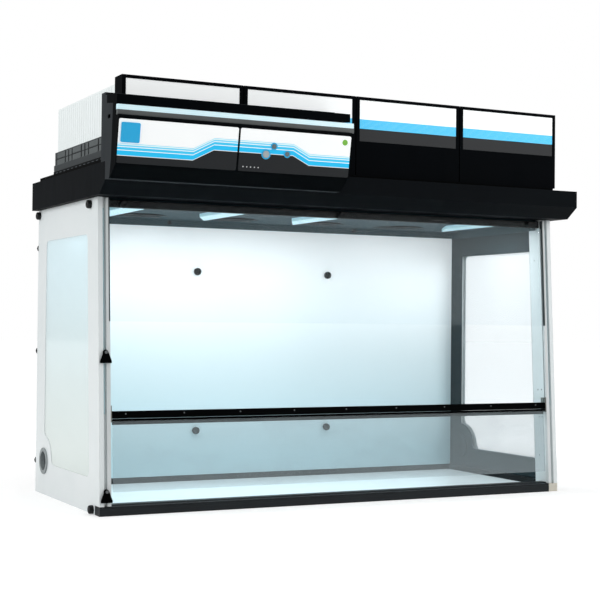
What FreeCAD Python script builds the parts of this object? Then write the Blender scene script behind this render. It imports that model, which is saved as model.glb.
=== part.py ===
"""Ductless fume hood, built as separate pieces in one frame.

Lengths are millimetres. X runs along the front, Y from front to back, Z up.
The origin is the middle of the footprint of the side panels, on the bench.
"""
import FreeCAD
import Part
import Sketcher
import os
import re

os.makedirs("parts", exist_ok=True)
doc = FreeCAD.newDocument("fume_hood")

# Driving sizes: name, value, meaning
SIZES = [
    ("hood_width", 1800, "over the side panels"),
    ("hood_depth", 732, "side panel at the bench"),
    ("hood_height", 1024, "bench to underside of canopy"),
    ("front_lean", 58.5, "how far the front leans back at the top"),
    ("wall", 18, "side panel thickness"),
    ("post_width", 40, "front post seen from the front"),
    ("post_depth", 80, "front post from front to back"),
    ("rebate_depth", 12.8, "rebate in the post that takes the panes"),
    ("rebate_width", 24, "rebate across the post"),
    ("flange_width", 40, "rear return of the side panel"),
    ("flange_thick", 12, "rear return thickness"),
    ("liner_thick", 3, "dark inner liner"),
    ("seat_gap", 0.3, "gap left between seated pieces"),
    ("notch_tall", 30.3, "foot of the post cut up over the sill"),
    ("window_low", 114, "window bottom edge"),
    ("window_high", 908, "window top edge"),
    ("window_rear", 261, "window rear edge"),
    ("window_margin", 107, "front plane to window front edge"),
    ("window_round", 22, "window corner radius"),
    ("window_lap", 12, "pane laps behind the window edge"),
    ("window_thick", 4, "side window pane"),
    ("window_lip", 1.6, "panel left in front of the side window pane"),
    ("port_y", 262, "cable port centre"),
    ("port_z", 120, "cable port centre"),
    ("port_skirt", 92, "panel left around the port"),
    ("port_hole", 40, "port hole radius"),
    ("port_flange", 47, "port flange radius"),
    ("port_bore", 34, "port inner radius"),
    ("pane_clear", 68, "side window pane to port centre"),
    ("tray_front", -318, "base tray front edge"),
    ("tray_back", 345, "base tray back"),
    ("tray_wall", 5, "base tray upstand"),
    ("tray_floor", 3, "base tray floor"),
    ("tray_rim", 37, "base tray upstand height"),
    ("top_thick", 12, "worktop thickness"),
    ("sill_top", 30, "sill height"),
    ("sill_lip", 35, "sill height between the posts"),
    ("sill_end", 860, "right end of the sill"),
    ("back_front", 340, "inner face of back panel"),
    ("back_thick", 13.7, "back panel tray depth"),
    ("sheet", 3, "sheet thickness of folded trays"),
    ("knob_radius", 14, "thumb knob"),
    ("knob_long", 15, "thumb knob"),
    ("stud_radius", 4, "thumb knob stud"),
    ("stud_hole", 4.3, "hole for a stud"),
    ("stud_long", 9, "thumb knob stud"),
    ("rail_low", 996.5, "front rail bottom, along the front"),
    ("rail_high", 1021.5, "front rail top, along the front"),
    ("rail_thick", 12, "front rail depth"),
    ("visor_low", 624, "upper visor bottom edge"),
    ("visor_high", 1018, "upper visor top edge"),
    ("visor_thick", 3, "upper visor"),
    ("visor_set", 13, "upper visor behind the front plane"),
    ("rail_knob_x", 809, "outer knobs of the front rail"),
    ("rail_knob_z", 1007, "knobs of the front rail"),
    ("pane_low", 325, "front pane bottom edge"),
    ("pane_high", 990, "front pane top edge"),
    ("pane_set", 7.6, "front pane behind the front plane"),
    ("pane_thick", 5, "front pane"),
    ("pane_half", 880, "front pane half width"),
    ("strip_width", 13, "retainer strip"),
    ("strip_thick", 7.3, "retainer strip"),
    ("bar_low", 309.8, "bar bottom edge"),
    ("bar_high", 333.8, "bar top edge"),
    ("bar_thick", 18, "bar depth"),
    ("bar_half", 854, "bar half width"),
    ("screw_pitch", 202.5, "bar screws"),
    ("screw_radius", 2.5, "bar and post screw heads"),
    ("screw_drop", 9, "bar screws below the bar top"),
    ("screw_stand", 0.6, "bar and post screw head height"),
    ("bracket_thick", 2.8, "bar end bracket"),
    ("bracket_low", 298, "bar end bracket"),
    ("bracket_high", 352, "bar end bracket"),
    ("rod_z", 305.7, "flap rod centre along the front"),
    ("rod_set", 4, "flap rod centre behind the front plane"),
    ("rod_radius", 3.7, "flap rod"),
    ("pin_radius", 2, "flap rod end pin"),
    ("pin_fit", 0.06, "pin running clearance"),
    ("flap_half", 852, "flap half width"),
    ("flap_low", 75, "flap bottom edge"),
    ("flap_high", 302.4, "flap top edge"),
    ("flap_set", 8.8, "flap behind the front plane"),
    ("flap_thick", 3, "flap"),
    ("catch_x", 878, "turn catch screw from the middle"),
    ("catch_upper_z", 523, "upper catch screw"),
    ("catch_lower_z", 78, "lower catch screw"),
    ("catch_drop", 35, "catch below its screw"),
    ("catch_half", 19, "catch half width at its foot"),
    ("catch_head", 9, "catch head radius"),
    ("catch_stand", 4.4, "catch boss height"),
    ("catch_thick", 5, "catch thickness"),
    ("canopy_half", 922, "canopy half width"),
    ("canopy_front", 443, "canopy front face"),
    ("canopy_back", 379, "canopy back"),
    ("canopy_top", 1124, "canopy top"),
    ("canopy_brow", 1064, "bottom of the canopy front face"),
    ("canopy_toe", 387, "foot of the canopy chamfer"),
    ("column_pitch", 428, "filter column pitch"),
    ("column_width", 424, "filter column width"),
    ("deck_top", 1136, "raised deck"),
    ("deck_half", 845, "raised deck, middle to its right end"),
    ("deck_step", 868, "where the left end of the deck steps forward"),
    ("deck_left", 915, "raised deck, middle to its left end"),
    ("deck_front", 398, "raised deck front edge"),
    ("deck_back", 344, "raised deck back edge"),
    ("air_wide", 380, "air opening across a column"),
    ("air_long", 560, "air opening front to back"),
    ("air_mid", -18, "air opening centre"),
    ("base_top", 1167, "column base top"),
    ("base_front", 320, "column base front"),
    ("base_back", 342, "column base back"),
    ("cassette_top", 1236, "cassette top"),
    ("cassette_back", 338, "cassette back"),
    ("cassette_step", 185, "panel spacing on the cassette sides"),
    ("filter_top", 1392, "filter top"),
    ("filter_front", 321, "filter front"),
    ("filter_back", 309, "filter back"),
    ("fascia_top", 1411, "fascia top"),
    ("fascia_front", 398, "fascia front face"),
    ("fascia_back", 328, "fascia back edge"),
    ("fascia_wall", 4, "fascia wall"),
    ("fascia_window_low", 1256, "fascia window"),
    ("fascia_window_high", 1400, "fascia window"),
    ("fascia_margin", 13, "fascia window side margin"),
    ("skirt_low", 986, "ceiling skirt bottom"),
    ("skirt_brow", 1000, "bottom of the front strip of the skirt"),
    ("ceiling_low", 1012, "ceiling sheet underside"),
    ("skirt_front", 274, "ceiling skirt front"),
    ("lamp_wide", 85, "lit panel across"),
    ("lamp_front", 190, "lit panel front edge"),
    ("lamp_rear", 172, "lit panel rear corner, right side"),
    ("lamp_slant", 162, "how far its left side is shorter"),
    ("lamp_thick", 12, "lit panel"),
    ("fan_y", 200, "fan centre"),
    ("fan_rise", 38, "impeller blades above the ceiling underside"),
    ("fan_pitch", 370, "fan spacing"),
    ("fan_mid", -20, "middle of the row of fans"),
    ("intake_radius", 96, "fan intake"),
    ("blade_outer", 92, "impeller radius"),
    ("blade_inner", 46, "blade root radius"),
    ("motor_radius", 42, "fan motor"),
    ("shaft_radius", 4, "fan shaft"),
    ("shaft_fit", 0.06, "shaft running clearance"),
    ("unit_left", 922, "control unit left end"),
    ("unit_right", 105, "control unit right end"),
    ("unit_back", 401.3, "control unit back"),
    ("unit_top", 1341, "control unit top"),
    ("shell_thick", 3, "control shell sheet"),
    ("chin_y", 483, "control unit chin"),
    ("chin_z", 1066, "control unit chin"),
    ("face_low_y", 539, "control face bottom edge"),
    ("face_low_z", 1106, "control face bottom edge"),
    ("face_high_y", 563, "control face top edge"),
    ("face_high_z", 1248, "control face top edge"),
    ("plate_tall", 137, "control plate height"),
    ("plate_low", 2.5, "control plate above the face edge"),
    ("plate_thick", 3, "control plate"),
    ("plate_round", 6, "control plate corners"),
    ("strip_right", 90, "right end of the lit strip"),
    ("strip_front", 545, "lit strip front"),
    ("strip_foot", 1274, "lit strip bottom"),
    ("strip_head", 1290.2, "lit strip top"),
    ("ledge_y", 532, "upright behind the strips"),
    ("ledge_z", 1256, "ledge under the strips"),
    ("cap_front", 547, "top bar front"),
    ("cap_back", 452, "top bar back"),
    ("cap_lip", 1320.5, "top bar front top edge"),
    ("cap_under", 1292.5, "top bar front bottom edge"),
    ("cap_heel", 1304.5, "top bar back bottom edge"),
    ("cheek_top_y", 510.5, "seam between shell and front at the top bar"),
    ("cheek_mid_y", 496, "seam between shell and front, middle"),
    ("cheek_mid_z", 1121.3, "seam between shell and front, middle"),
    ("cheek_low_y", 481.2, "seam between shell and front at the chin"),
    ("board_set", 76, "circuit board ahead of the shell back"),
    ("button_travel", 1.5, "push-button travel"),
    ("bezel_wide", 4.5, "ring round each push-button"),
]

sheet = doc.addObject("Spreadsheet::Sheet", "dims")
sheet.Label = "dims"
for row, (name, value, meaning) in enumerate(SIZES, start=1):
    sheet.set("A%d" % row, name)
    sheet.set("B%d" % row, str(value))
    sheet.setAlias("B%d" % row, name)
    sheet.set("C%d" % row, meaning)

DERIVED = [
    ("half_width", "hood_width / 2"),
    ("half_depth", "hood_depth / 2"),
    ("inner_x", "hood_width / 2 - wall"),
    ("post_x", "hood_width / 2 - post_width"),
    ("liner_x", "hood_width / 2 - wall - liner_thick"),
    ("lean_angle", "atan(front_lean / hood_height)"),
    ("face_angle", "atan((face_high_y - face_low_y) / (face_high_z - face_low_z))"),
    ("visor_back", "visor_set + visor_thick"),
    ("cap_slope", "(cap_heel - cap_under) / (cap_front - cap_back)"),
    ("cheek_top_z", "cap_under + cap_slope * (cap_front - cheek_top_y) - 0.4"),
    ("heel_z", "cap_heel - 0.4"),
]
for row, (name, formula) in enumerate(DERIVED, start=len(SIZES) + 1):
    sheet.set("A%d" % row, name)
    sheet.set("B%d" % row, "=" + formula)
    sheet.setAlias("B%d" % row, name)
doc.recompute()

FUNCTIONS = {"cos", "sin", "tan", "atan", "sqrt"}
bodies = []


def bound(text):
    """Return an expression with each size name tied to the sheet."""
    def tie(match):
        word = match.group(0)
        return word if word in FUNCTIONS else "dims." + word
    return re.sub(r"[A-Za-z_]\w*", tie, str(text))


def new_body(label):
    """Return a new named body that may hold several separate solids."""
    body = doc.addObject("PartDesign::Body", label)
    body.Label = label
    body.AllowCompound = True
    bodies.append(body)
    return body


def lean_back(body):
    """Stand a body, modelled upright, in the leaning plane of the front."""
    body.Placement = FreeCAD.Placement(
        FreeCAD.Vector(0, -366, 0), FreeCAD.Rotation(FreeCAD.Vector(-1, 0, 0), 3.0))
    body.setExpression("Placement.Base.y", bound("-half_depth"))
    body.setExpression("Placement.Rotation.Angle", bound("lean_angle"))


def lean_forward(body):
    """Stand a body, modelled upright, in the leaning face of the control unit."""
    body.Placement = FreeCAD.Placement(
        FreeCAD.Vector(0, -539, 1106), FreeCAD.Rotation(FreeCAD.Vector(1, 0, 0), 9.0))
    body.setExpression("Placement.Base.y", bound("-face_low_y"))
    body.setExpression("Placement.Base.z", bound("face_low_z"))
    body.setExpression("Placement.Rotation.Angle", bound("face_angle"))


def refresh(*items):
    """Recompute only the objects that have just changed."""
    for item in items:
        item.recompute()


def rect(left, right, low, high):
    """Return the corners of an upright rectangle."""
    return [(left, low), (right, low), (right, high), (left, high)]


def circle(across, up, radius):
    """Return a circle as its centre and radius."""
    return (across, up, radius)


def add_loops(sketch, loops):
    """Draw closed loops, each a list of corners or one circle, tied to the sheet."""
    shapes = []
    joints = []
    ties = []
    for loop in loops:
        first = len(shapes)
        if isinstance(loop, tuple):
            across, up, radius = [sketch.evalExpression(bound(part)) for part in loop]
            shapes.append(Part.Circle(
                FreeCAD.Vector(across, up, 0), FreeCAD.Vector(0, 0, 1), radius))
            ties.append(("DistanceX", first, 3, across, loop[0]))
            ties.append(("DistanceY", first, 3, up, loop[1]))
            ties.append(("Radius", first, 0, radius, loop[2]))
            continue
        spots = [FreeCAD.Vector(sketch.evalExpression(bound(across)),
                                sketch.evalExpression(bound(up)), 0) for across, up in loop]
        count = len(spots)
        for index in range(count):
            shapes.append(Part.LineSegment(spots[index], spots[(index + 1) % count]))
            joints.append(Sketcher.Constraint(
                "Coincident", first + index, 2, first + (index + 1) % count, 1))
            ties.append(("DistanceX", first + index, 1, spots[index].x, loop[index][0]))
            ties.append(("DistanceY", first + index, 1, spots[index].y, loop[index][1]))
    sketch.addGeometry(shapes, False)
    limits = []
    for kind, geometry, point, value, text in ties:
        if kind == "Radius":
            limits.append(Sketcher.Constraint(kind, geometry, float(value)))
        else:
            limits.append(Sketcher.Constraint(kind, -1, 1, geometry, point, float(value)))
    sketch.addConstraint(joints + limits)
    for index, (kind, geometry, point, value, text) in enumerate(ties, start=len(joints)):
        sketch.setExpression("Constraints[%d]" % index, bound(text))


def prism(body, axis, start, length, loops, cut=False):
    """Add or cut a straight prism along an axis, from start over length."""
    roles = {"x": "YZ_Plane", "y": "XZ_Plane", "z": "XY_Plane"}
    plane = [item for item in body.Origin.OriginFeatures if item.Role == roles[axis]][0]
    count = len(body.Group)
    sketch = body.newObject("Sketcher::SketchObject", "%s_sketch%d" % (body.Label, count))
    sketch.AttachmentSupport = [(plane, "")]
    sketch.MapMode = "FlatFace"
    offset = "-(%s)" % start if axis == "y" else str(start)
    sketch.setExpression("AttachmentOffset.Base.z", bound(offset))
    add_loops(sketch, loops)
    before = body.Shape.Volume if cut else 0.0
    kind = "PartDesign::Pocket" if cut else "PartDesign::Pad"
    feature = body.newObject(kind, "%s_%s%d" % (body.Label, "cut" if cut else "pad", count))
    feature.Profile = sketch
    feature.Type = 0
    feature.setExpression("Length", bound(length))
    feature.Reversed = (axis == "y") != cut
    sketch.Visibility = False
    body.Tip = feature
    refresh(sketch, feature, body)
    if cut and not feature.Shape.Volume < before - 1e-3:
        raise ValueError("cut removes nothing: " + feature.Label)
    return feature


def repeat(body, axis, step, count):
    """Repeat the last feature of a body in a row along an axis."""
    feature = body.Tip
    role = {"x": "X_Axis", "y": "Y_Axis", "z": "Z_Axis"}[axis]
    line = [item for item in body.Origin.OriginFeatures if item.Role == role][0]
    row = body.newObject("PartDesign::LinearPattern", "%s_row%d" % (body.Label, len(body.Group)))
    row.Originals = [feature]
    row.Direction = (line, [""])
    row.Occurrences = count
    row.Reversed = True
    row.setExpression("Length", bound("(%s) * %d" % (step, count - 1)))
    body.Tip = row
    refresh(row, body)
    return row


def spin(body, count):
    """Repeat the last feature of a body evenly about its own upright axis."""
    feature = body.Tip
    line = [item for item in body.Origin.OriginFeatures if item.Role == "Z_Axis"][0]
    ring = body.newObject("PartDesign::PolarPattern", "%s_ring%d" % (body.Label, len(body.Group)))
    ring.Originals = [feature]
    ring.Axis = (line, [""])
    ring.Angle = 360
    ring.Occurrences = count
    body.Tip = ring
    refresh(ring, body)
    return ring


def block(body, x_span, y_span, z_span, cut=False):
    """Add or cut one rectangular block given by its three spans."""
    length = "(%s) - (%s)" % (z_span[1], z_span[0])
    return prism(body, "z", z_span[0], length, [rect(*x_span, *y_span)], cut)


def round_edges(body, radius, test, kind="Fillet"):
    """Round or bevel every edge of the tip that passes the test."""
    tip = body.Tip
    names = ["Edge%d" % (index + 1) for index, edge in enumerate(tip.Shape.Edges) if test(edge)]
    if not names:
        raise ValueError("no edges to round on " + body.Label)
    feature = body.newObject("PartDesign::" + kind, "%s_round%d" % (body.Label, len(body.Group)))
    feature.Base = (tip, names)
    feature.setExpression("Radius" if kind == "Fillet" else "Size", bound(radius))
    body.Tip = feature
    refresh(feature, body)
    return feature


def along(edge, axis):
    """Tell whether a straight edge runs along an axis."""
    if edge.Curve.TypeId != "Part::GeomLine":
        return False
    return abs(abs(getattr(edge.Curve.Direction, axis)) - 1.0) < 1e-3


def ring_at(edge, axis, place, radius):
    """Tell whether an edge is a circle of that radius at that place on an axis."""
    if edge.Curve.TypeId != "Part::GeomCircle":
        return False
    centre = getattr(edge.Curve.Center, axis)
    return abs(centre - place) < 0.02 and abs(edge.Curve.Radius - radius) < 0.02


def size(name):
    """Return the present value of a size."""
    return float(sheet.get(name))


def span(sign, low, high):
    """Return start and length of a span, mirrored for the left side."""
    start = low if sign > 0 else "-(%s)" % high
    return start, "(%s) - (%s)" % (high, low)


def front_at(height, behind="0"):
    """Return Y of the leaning front plane at a height, some way behind it."""
    return "-half_depth + front_lean * (%s) / hood_height + (%s)" % (height, behind)


def strip(low, high, near, far):
    """Return a leaning strip between two heights and two depths behind the front."""
    return [(front_at(low, near), low), (front_at(low, far), low),
            (front_at(high, far), high), (front_at(high, near), high)]


def window_outline(lap="0"):
    """Return the four corners of the side window, grown by a lap."""
    low = "window_low - (%s)" % lap
    high = "window_high + (%s)" % lap
    near = "window_margin - (%s)" % lap
    rear = "window_rear + (%s)" % lap
    return [(front_at(low, near), low), (rear, low), (rear, high), (front_at(high, near), high)]


def glazing_outline(lap):
    """Return the side pane outline, with its lower rear corner cut round the port."""
    low = "window_low - (%s)" % lap
    high = "window_high + (%s)" % lap
    near = "window_margin - (%s)" % lap
    rear = "window_rear + (%s)" % lap
    reach = "(pane_clear - (%s) + window_lap) / cos(15)" % lap
    around = [("port_y + %s * cos(%d)" % (reach, turn), "port_z + %s * sin(%d)" % (reach, turn))
              for turn in (157, 127, 97)]
    start = ("port_y - (pane_clear - (%s) + window_lap)" % lap, low)
    finish = (rear, "port_z + (pane_clear - (%s) + window_lap)" % lap)
    return [(front_at(low, near), low), start] + around + [
        finish, (rear, high), (front_at(high, near), high)]


def column_x(index):
    """Return the centre line of one filter column, counted from the left."""
    return "column_pitch * (%s)" % (index - 1.5)


def fan_x(index):
    """Return the centre line of one fan, counted from the left."""
    return "(fan_mid + fan_pitch * (%s))" % (index - 1.5)


def in_columns(half, low, high):
    """Return one rectangle per filter column."""
    return [rect("%s - (%s)" % (column_x(k), half), "%s + (%s)" % (column_x(k), half), low, high)
            for k in range(4)]


def build_base():
    """Base tray, worktop, sill and the block at the right end of the sill."""
    body = new_body("base_tray")
    edge = "liner_x - 0.5"
    block(body, ("-(%s)" % edge, edge), ("tray_front", "tray_back"), ("0", "tray_rim"))
    inner = edge + " - tray_wall"
    block(body, ("-(%s)" % inner, inner), ("tray_front - 1", "tray_back - tray_wall"),
          ("tray_floor", "tray_rim"), cut=True)
    heel = front_at("tray_rim", "post_depth + seat_gap")
    block(body, ("-liner_x", "liner_x"), ("tray_front - 1", heel),
          ("notch_tall - seat_gap", "tray_rim + 1"), cut=True)

    body = new_body("worktop")
    inner = inner + " - seat_gap"
    block(body, ("-(%s)" % inner, inner), ("tray_front", "tray_back - tray_wall - seat_gap"),
          ("tray_floor", "tray_floor + top_thick"))
    round_edges(body, "2", lambda e: along(e, "x") and e.BoundBox.ZMin > 10)

    body = new_body("front_sill")
    front = "-half_depth"
    back = "tray_front - seat_gap"
    profile = [(front, "0"), (back, "0"), (back, "sill_top"), (front + " + 2", "sill_top"),
               (front, "sill_top - 2"), (front, "sill_top - 4"), (front + " + 2.5", "sill_top - 4"),
               (front + " + 2.5", "sill_top - 6"), (front, "sill_top - 6")]
    prism(body, "x", "-half_width", "half_width + sill_end", [profile])
    lip = [(front + " + 14", "sill_top"), (back, "sill_top"), (back, "sill_lip"),
           (front + " + 19", "sill_lip")]
    prism(body, "x", "-(post_x - 1)", "2 * (post_x - 1)", [lip])

    body = new_body("sill_end_block")
    block(body, ("sill_end + seat_gap", "half_width"), (front, back), ("0", "sill_top"))
    round_edges(body, "2.5", lambda e: e.BoundBox.XMax > size("half_width") - 3
                and e.BoundBox.YMax < -360)


def build_side(sign, side):
    """Folded side panel with post, rear return, window, port and knob holes."""
    body = new_body("side_panel_" + side)
    foot = "notch_tall"
    outline = [("tray_front", "0"), ("half_depth", "0"), ("half_depth", "hood_height"),
               (front_at("hood_height"), "hood_height"), (front_at(foot), foot),
               ("tray_front", foot)]
    prism(body, "x", *span(sign, "inner_x", "half_width"), [outline])
    prism(body, "x", *span(sign, "post_x", "inner_x"),
          [strip(foot, "hood_height", "0", "post_depth")])
    rear = rect("half_depth - flange_thick", "half_depth", "0", "hood_height")
    prism(body, "x", *span(sign, "half_width - wall - flange_width", "inner_x"), [rear])
    prism(body, "x", *span(sign, "post_x - 1", "post_x + rebate_width"),
          [strip("20", "hood_height + 5", "-5", "rebate_depth")], cut=True)
    prism(body, "x", *span(sign, "inner_x - 1", "half_width + 1"), [window_outline()], cut=True)
    prism(body, "x", *span(sign, "inner_x", "half_width"),
          [circle("port_y", "port_z", "port_skirt")])
    prism(body, "x", *span(sign, "inner_x - 1", "half_width - window_lip"),
          [glazing_outline("window_lap + 0.5")], cut=True)
    prism(body, "x", *span(sign, "inner_x - 1", "half_width + 1"),
          [circle("port_y", "port_z", "port_hole")], cut=True)

    def window_corner(edge):
        box = edge.BoundBox
        middle = edge.CenterOfMass
        outer = abs(middle.x) > size("half_width") - size("window_lip")
        inside = -262 < middle.y < 265 and 100 < middle.z < 915
        return along(edge, "x") and box.XLength > 1 and outer and inside
    round_edges(body, "window_round", window_corner)
    holes = [circle(y, z, "stud_hole") for y, z in SIDE_KNOBS]
    prism(body, "x", *span(sign, "half_width - 11", "half_width + 1"), holes, cut=True)
    across = "%s(half_width - 11)" % ("" if sign > 0 else "-")
    holes = [circle(across, z, "stud_hole") for z in REAR_KNOBS]
    prism(body, "y", "half_depth - 11", "12", holes, cut=True)

    body = new_body("side_liner_" + side)
    low = "tray_rim + seat_gap"
    high = "hood_height - seat_gap"
    outline = [(front_at(low, "post_depth + seat_gap"), low), ("back_front - seat_gap", low),
               ("back_front - seat_gap", high), (front_at(high, "post_depth + seat_gap"), high)]
    prism(body, "x", *span(sign, "liner_x", "inner_x"), [outline])
    prism(body, "x", *span(sign, "liner_x - 1", "inner_x + 1"), [window_outline()], cut=True)
    prism(body, "x", *span(sign, "liner_x", "inner_x"),
          [circle("port_y", "port_z", "back_front - seat_gap - port_y")])
    prism(body, "x", *span(sign, "liner_x", "inner_x"), [
        [("port_y - port_skirt", low), ("back_front - seat_gap", low),
         ("back_front - seat_gap", "port_z + port_skirt"),
         ("port_y + port_skirt * cos(97)", "port_z + port_skirt * sin(97)"),
         ("port_y + port_skirt * cos(115)", "port_z + port_skirt * sin(115)"),
         ("port_y + port_skirt * cos(133)", "port_z + port_skirt * sin(133)"),
         ("port_y + port_skirt * cos(151)", "port_z + port_skirt * sin(151)"),
         ("port_y + port_skirt * cos(169)", "port_z + port_skirt * sin(169)")]])
    prism(body, "x", *span(sign, "liner_x - 1", "inner_x + 1"),
          [circle("port_y", "port_z", "port_hole")], cut=True)

    body = new_body("side_window_" + side)
    face = "half_width - window_lip"
    prism(body, "x", *span(sign, face + " - window_thick", face), [glazing_outline("window_lap")])


SIDE_KNOBS = [("357 - 10", "1004"), ("-238", "1004"), ("-296", "knob_radius + 1.5")]
REAR_KNOBS = ["887", "512", "113"]
WALL_KNOBS = [("-283", "817"), ("283", "817"), ("-283", "207"), ("283", "207")]
SKIRT_KNOBS = [("-402", "1000"), ("402", "1000")]
POST_SCREWS = [("28", "382"), ("50", "382"), ("29", "279"), ("46", "279"), ("50", "875"),
               ("52", "135")]


def both_ports(body, start, length, radius, cut=False):
    """Add or cut the same round step on both cable ports, mirrored."""
    for sign in (1, -1):
        first, extent = span(sign, start, "(%s) + (%s)" % (start, length))
        prism(body, "x", first, extent, [circle("port_y", "port_z", radius)], cut)


def build_ports():
    """Cable ports: a flanged ring outside and a slit grommet inside."""
    body = new_body("port_rings")
    both_ports(body, "liner_x", "half_width - liner_x + 4", "port_hole - seat_gap")
    both_ports(body, "half_width", "4", "port_flange")
    both_ports(body, "liner_x - 1", "half_width - liner_x + 6", "port_bore", cut=True)
    body = new_body("port_grommets")
    both_ports(body, "liner_x - 4", "4", "port_flange")
    both_ports(body, "liner_x", "8", "port_bore - seat_gap")
    for sign in (1, -1):
        first, extent = span(sign, "liner_x - 5", "liner_x + 9")
        slit = [rect("port_y - 24", "port_y + 24", "port_z - 0.6", "port_z + 0.6")]
        prism(body, "x", first, extent, slit, cut=True)
        slit = [rect("port_y - 0.6", "port_y + 0.6", "port_z - 24", "port_z + 24")]
        prism(body, "x", first, extent, slit, cut=True)


def knobs(label, axis, face, outward, spots, radius="knob_radius", long="knob_long"):
    """Thumb knobs with domed heads on one face; studs reach the other way."""
    body = new_body(label)
    head = [circle(a, b, radius) for a, b in spots]
    stud = [circle(a, b, "stud_radius") for a, b in spots]
    if outward > 0:
        prism(body, axis, face, long, head)
        prism(body, axis, "(%s) - stud_long" % face, "stud_long", stud)
    else:
        prism(body, axis, "(%s) - (%s)" % (face, long), long, head)
        prism(body, axis, face, "stud_long", stud)
    return body


def dome(body, axis, places, radius, amount="4"):
    """Round the outer rim of each knob head."""
    round_edges(body, amount, lambda e: any(ring_at(e, axis, p, radius) for p in places))


def build_knobs():
    """All thumb knobs of the enclosure."""
    body = knobs("side_knobs", "x", "half_width", 1, SIDE_KNOBS)
    spots = [circle(a, b, "knob_radius") for a, b in SIDE_KNOBS]
    studs = [circle(a, b, "stud_radius") for a, b in SIDE_KNOBS]
    prism(body, "x", "-half_width - knob_long", "knob_long", spots)
    prism(body, "x", "-half_width", "stud_long", studs)
    reach = size("half_width") + size("knob_long")
    dome(body, "x", (reach, -reach), size("knob_radius"))
    spots = [("%s(half_width - 11)" % mark, z) for mark in ("", "-") for z in REAR_KNOBS]
    body = knobs("rear_knobs", "y", "half_depth", 1, spots)
    dome(body, "y", (size("half_depth") + size("knob_long"),), size("knob_radius"))
    body = knobs("wall_knobs", "y", "back_front", -1, WALL_KNOBS)
    dome(body, "y", (size("back_front") - size("knob_long"),), size("knob_radius"))


def build_back():
    """Back panel: a shallow folded tray, open behind, with holes for its knobs."""
    body = new_body("back_panel")
    edge = "inner_x - seat_gap"
    spans = (("-(%s)" % edge, edge), ("back_front", "back_front + back_thick"),
             ("tray_rim + seat_gap", "hood_height - seat_gap"))
    block(body, *spans)
    block(body, ("-(%s) + sheet" % edge, edge + " - sheet"),
          ("back_front + sheet", "back_front + back_thick + 1"),
          ("tray_rim + seat_gap + sheet", "hood_height - seat_gap - sheet"), cut=True)
    holes = [circle(x, z, "stud_hole") for x, z in WALL_KNOBS]
    prism(body, "y", "back_front - 1", "sheet + 2", holes, cut=True)


def build_front():
    """Rail, visor, panes, strips, bar and brackets, upright, then leaned back."""
    holes = [circle(x, "rail_knob_z", "stud_hole") for x in ("-rail_knob_x", "0", "rail_knob_x")]
    body = new_body("visor_rail")
    edge = "post_x - 1"
    near = "visor_back"
    block(body, ("-(%s)" % edge, edge), (near, near + " + rail_thick"), ("rail_low", "rail_high"))
    for low in ("rail_high - 6", "rail_low + 2"):
        block(body, ("-(%s)" % edge, edge), (near + " + rail_thick", near + " + rail_thick + 4"),
              (low, low + " + 4"))
    prism(body, "y", near + " - 1", "rail_thick - 1", holes, cut=True)
    lean_back(body)

    body = new_body("visor_pane")
    edge = "post_x - 2"
    block(body, ("-(%s)" % edge, edge), ("visor_set", "visor_back"), ("visor_low", "visor_high"))
    prism(body, "y", "visor_set - 1", "visor_thick + 2", holes, cut=True)
    lean_back(body)

    spots = [(x, "rail_knob_z") for x in ("-rail_knob_x", "0", "rail_knob_x")]
    body = knobs("visor_knobs", "y", "visor_set", -1, spots)
    dome(body, "y", (size("visor_set") - size("knob_long"),), size("knob_radius"))
    lean_back(body)

    body = new_body("pane_retainers")
    inward = "rebate_depth - seat_gap"
    for sign in (1, -1):
        start, width = span(sign, "post_x + seat_gap", "post_x + seat_gap + strip_width")
        across = (start, "%s + %s" % (start, width))
        block(body, across, ("0", "strip_thick"), ("notch_tall + 1", "rail_high"))
        block(body, across, ("strip_thick", inward), ("notch_tall + 1", "pane_low - 2"))
        block(body, across, ("strip_thick", inward), ("pane_high + 2", "rail_high"))
    lean_back(body)

    body = new_body("sash_pane")
    block(body, ("-pane_half", "pane_half"), ("pane_set", "pane_set + pane_thick"),
          ("pane_low", "pane_high"))
    lean_back(body)

    body = new_body("sash_bar")
    block(body, ("-bar_half", "bar_half"), ("0", "bar_thick"), ("bar_low", "bar_high"))
    block(body, ("-bar_half - 1", "bar_half + 1"), ("pane_set - seat_gap",
          "pane_set + pane_thick + seat_gap"), ("pane_low - seat_gap", "bar_high + 1"), cut=True)
    round_edges(body, "1.5", lambda e: along(e, "x") and abs(e.CenterOfMass.y) < 0.1)
    lean_back(body)

    body = new_body("front_screws")
    heads = [circle("screw_pitch * (%d)" % k, "bar_high - screw_drop", "screw_radius")
             for k in range(-4, 5)]
    prism(body, "y", "-screw_stand", "screw_stand", heads)
    for sign in (1, -1):
        prism(body, "x", *span(sign, "post_x - screw_stand", "post_x"),
              [circle(deep, up, "screw_radius") for deep, up in POST_SCREWS])
    lean_back(body)

    body = new_body("bar_brackets")
    for sign in (1, -1):
        start, width = span(sign, "post_x - seat_gap - bracket_thick", "post_x - seat_gap")
        across = (start, "%s + %s" % (start, width))
        block(body, across, ("0.4", "bar_thick + 12"), ("bracket_low", "bracket_high"))
        start, width = span(sign, "post_x - 44", "post_x - seat_gap - bracket_thick")
        across = (start, "%s + %s" % (start, width))
        block(body, across, ("bar_thick + seat_gap", "bar_thick + seat_gap + bracket_thick"),
              ("bar_low + 2", "bar_high"))
        start, width = span(sign, "post_x - 5", "post_x + 1")
        slot = rect("pane_set - seat_gap", "pane_set + pane_thick + seat_gap",
                    "pane_low - seat_gap", "bracket_high + 1")
        prism(body, "x", start, width, [circle("rod_set", "rod_z", "pin_radius + pin_fit"), slot],
              cut=True)
    lean_back(body)


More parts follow.
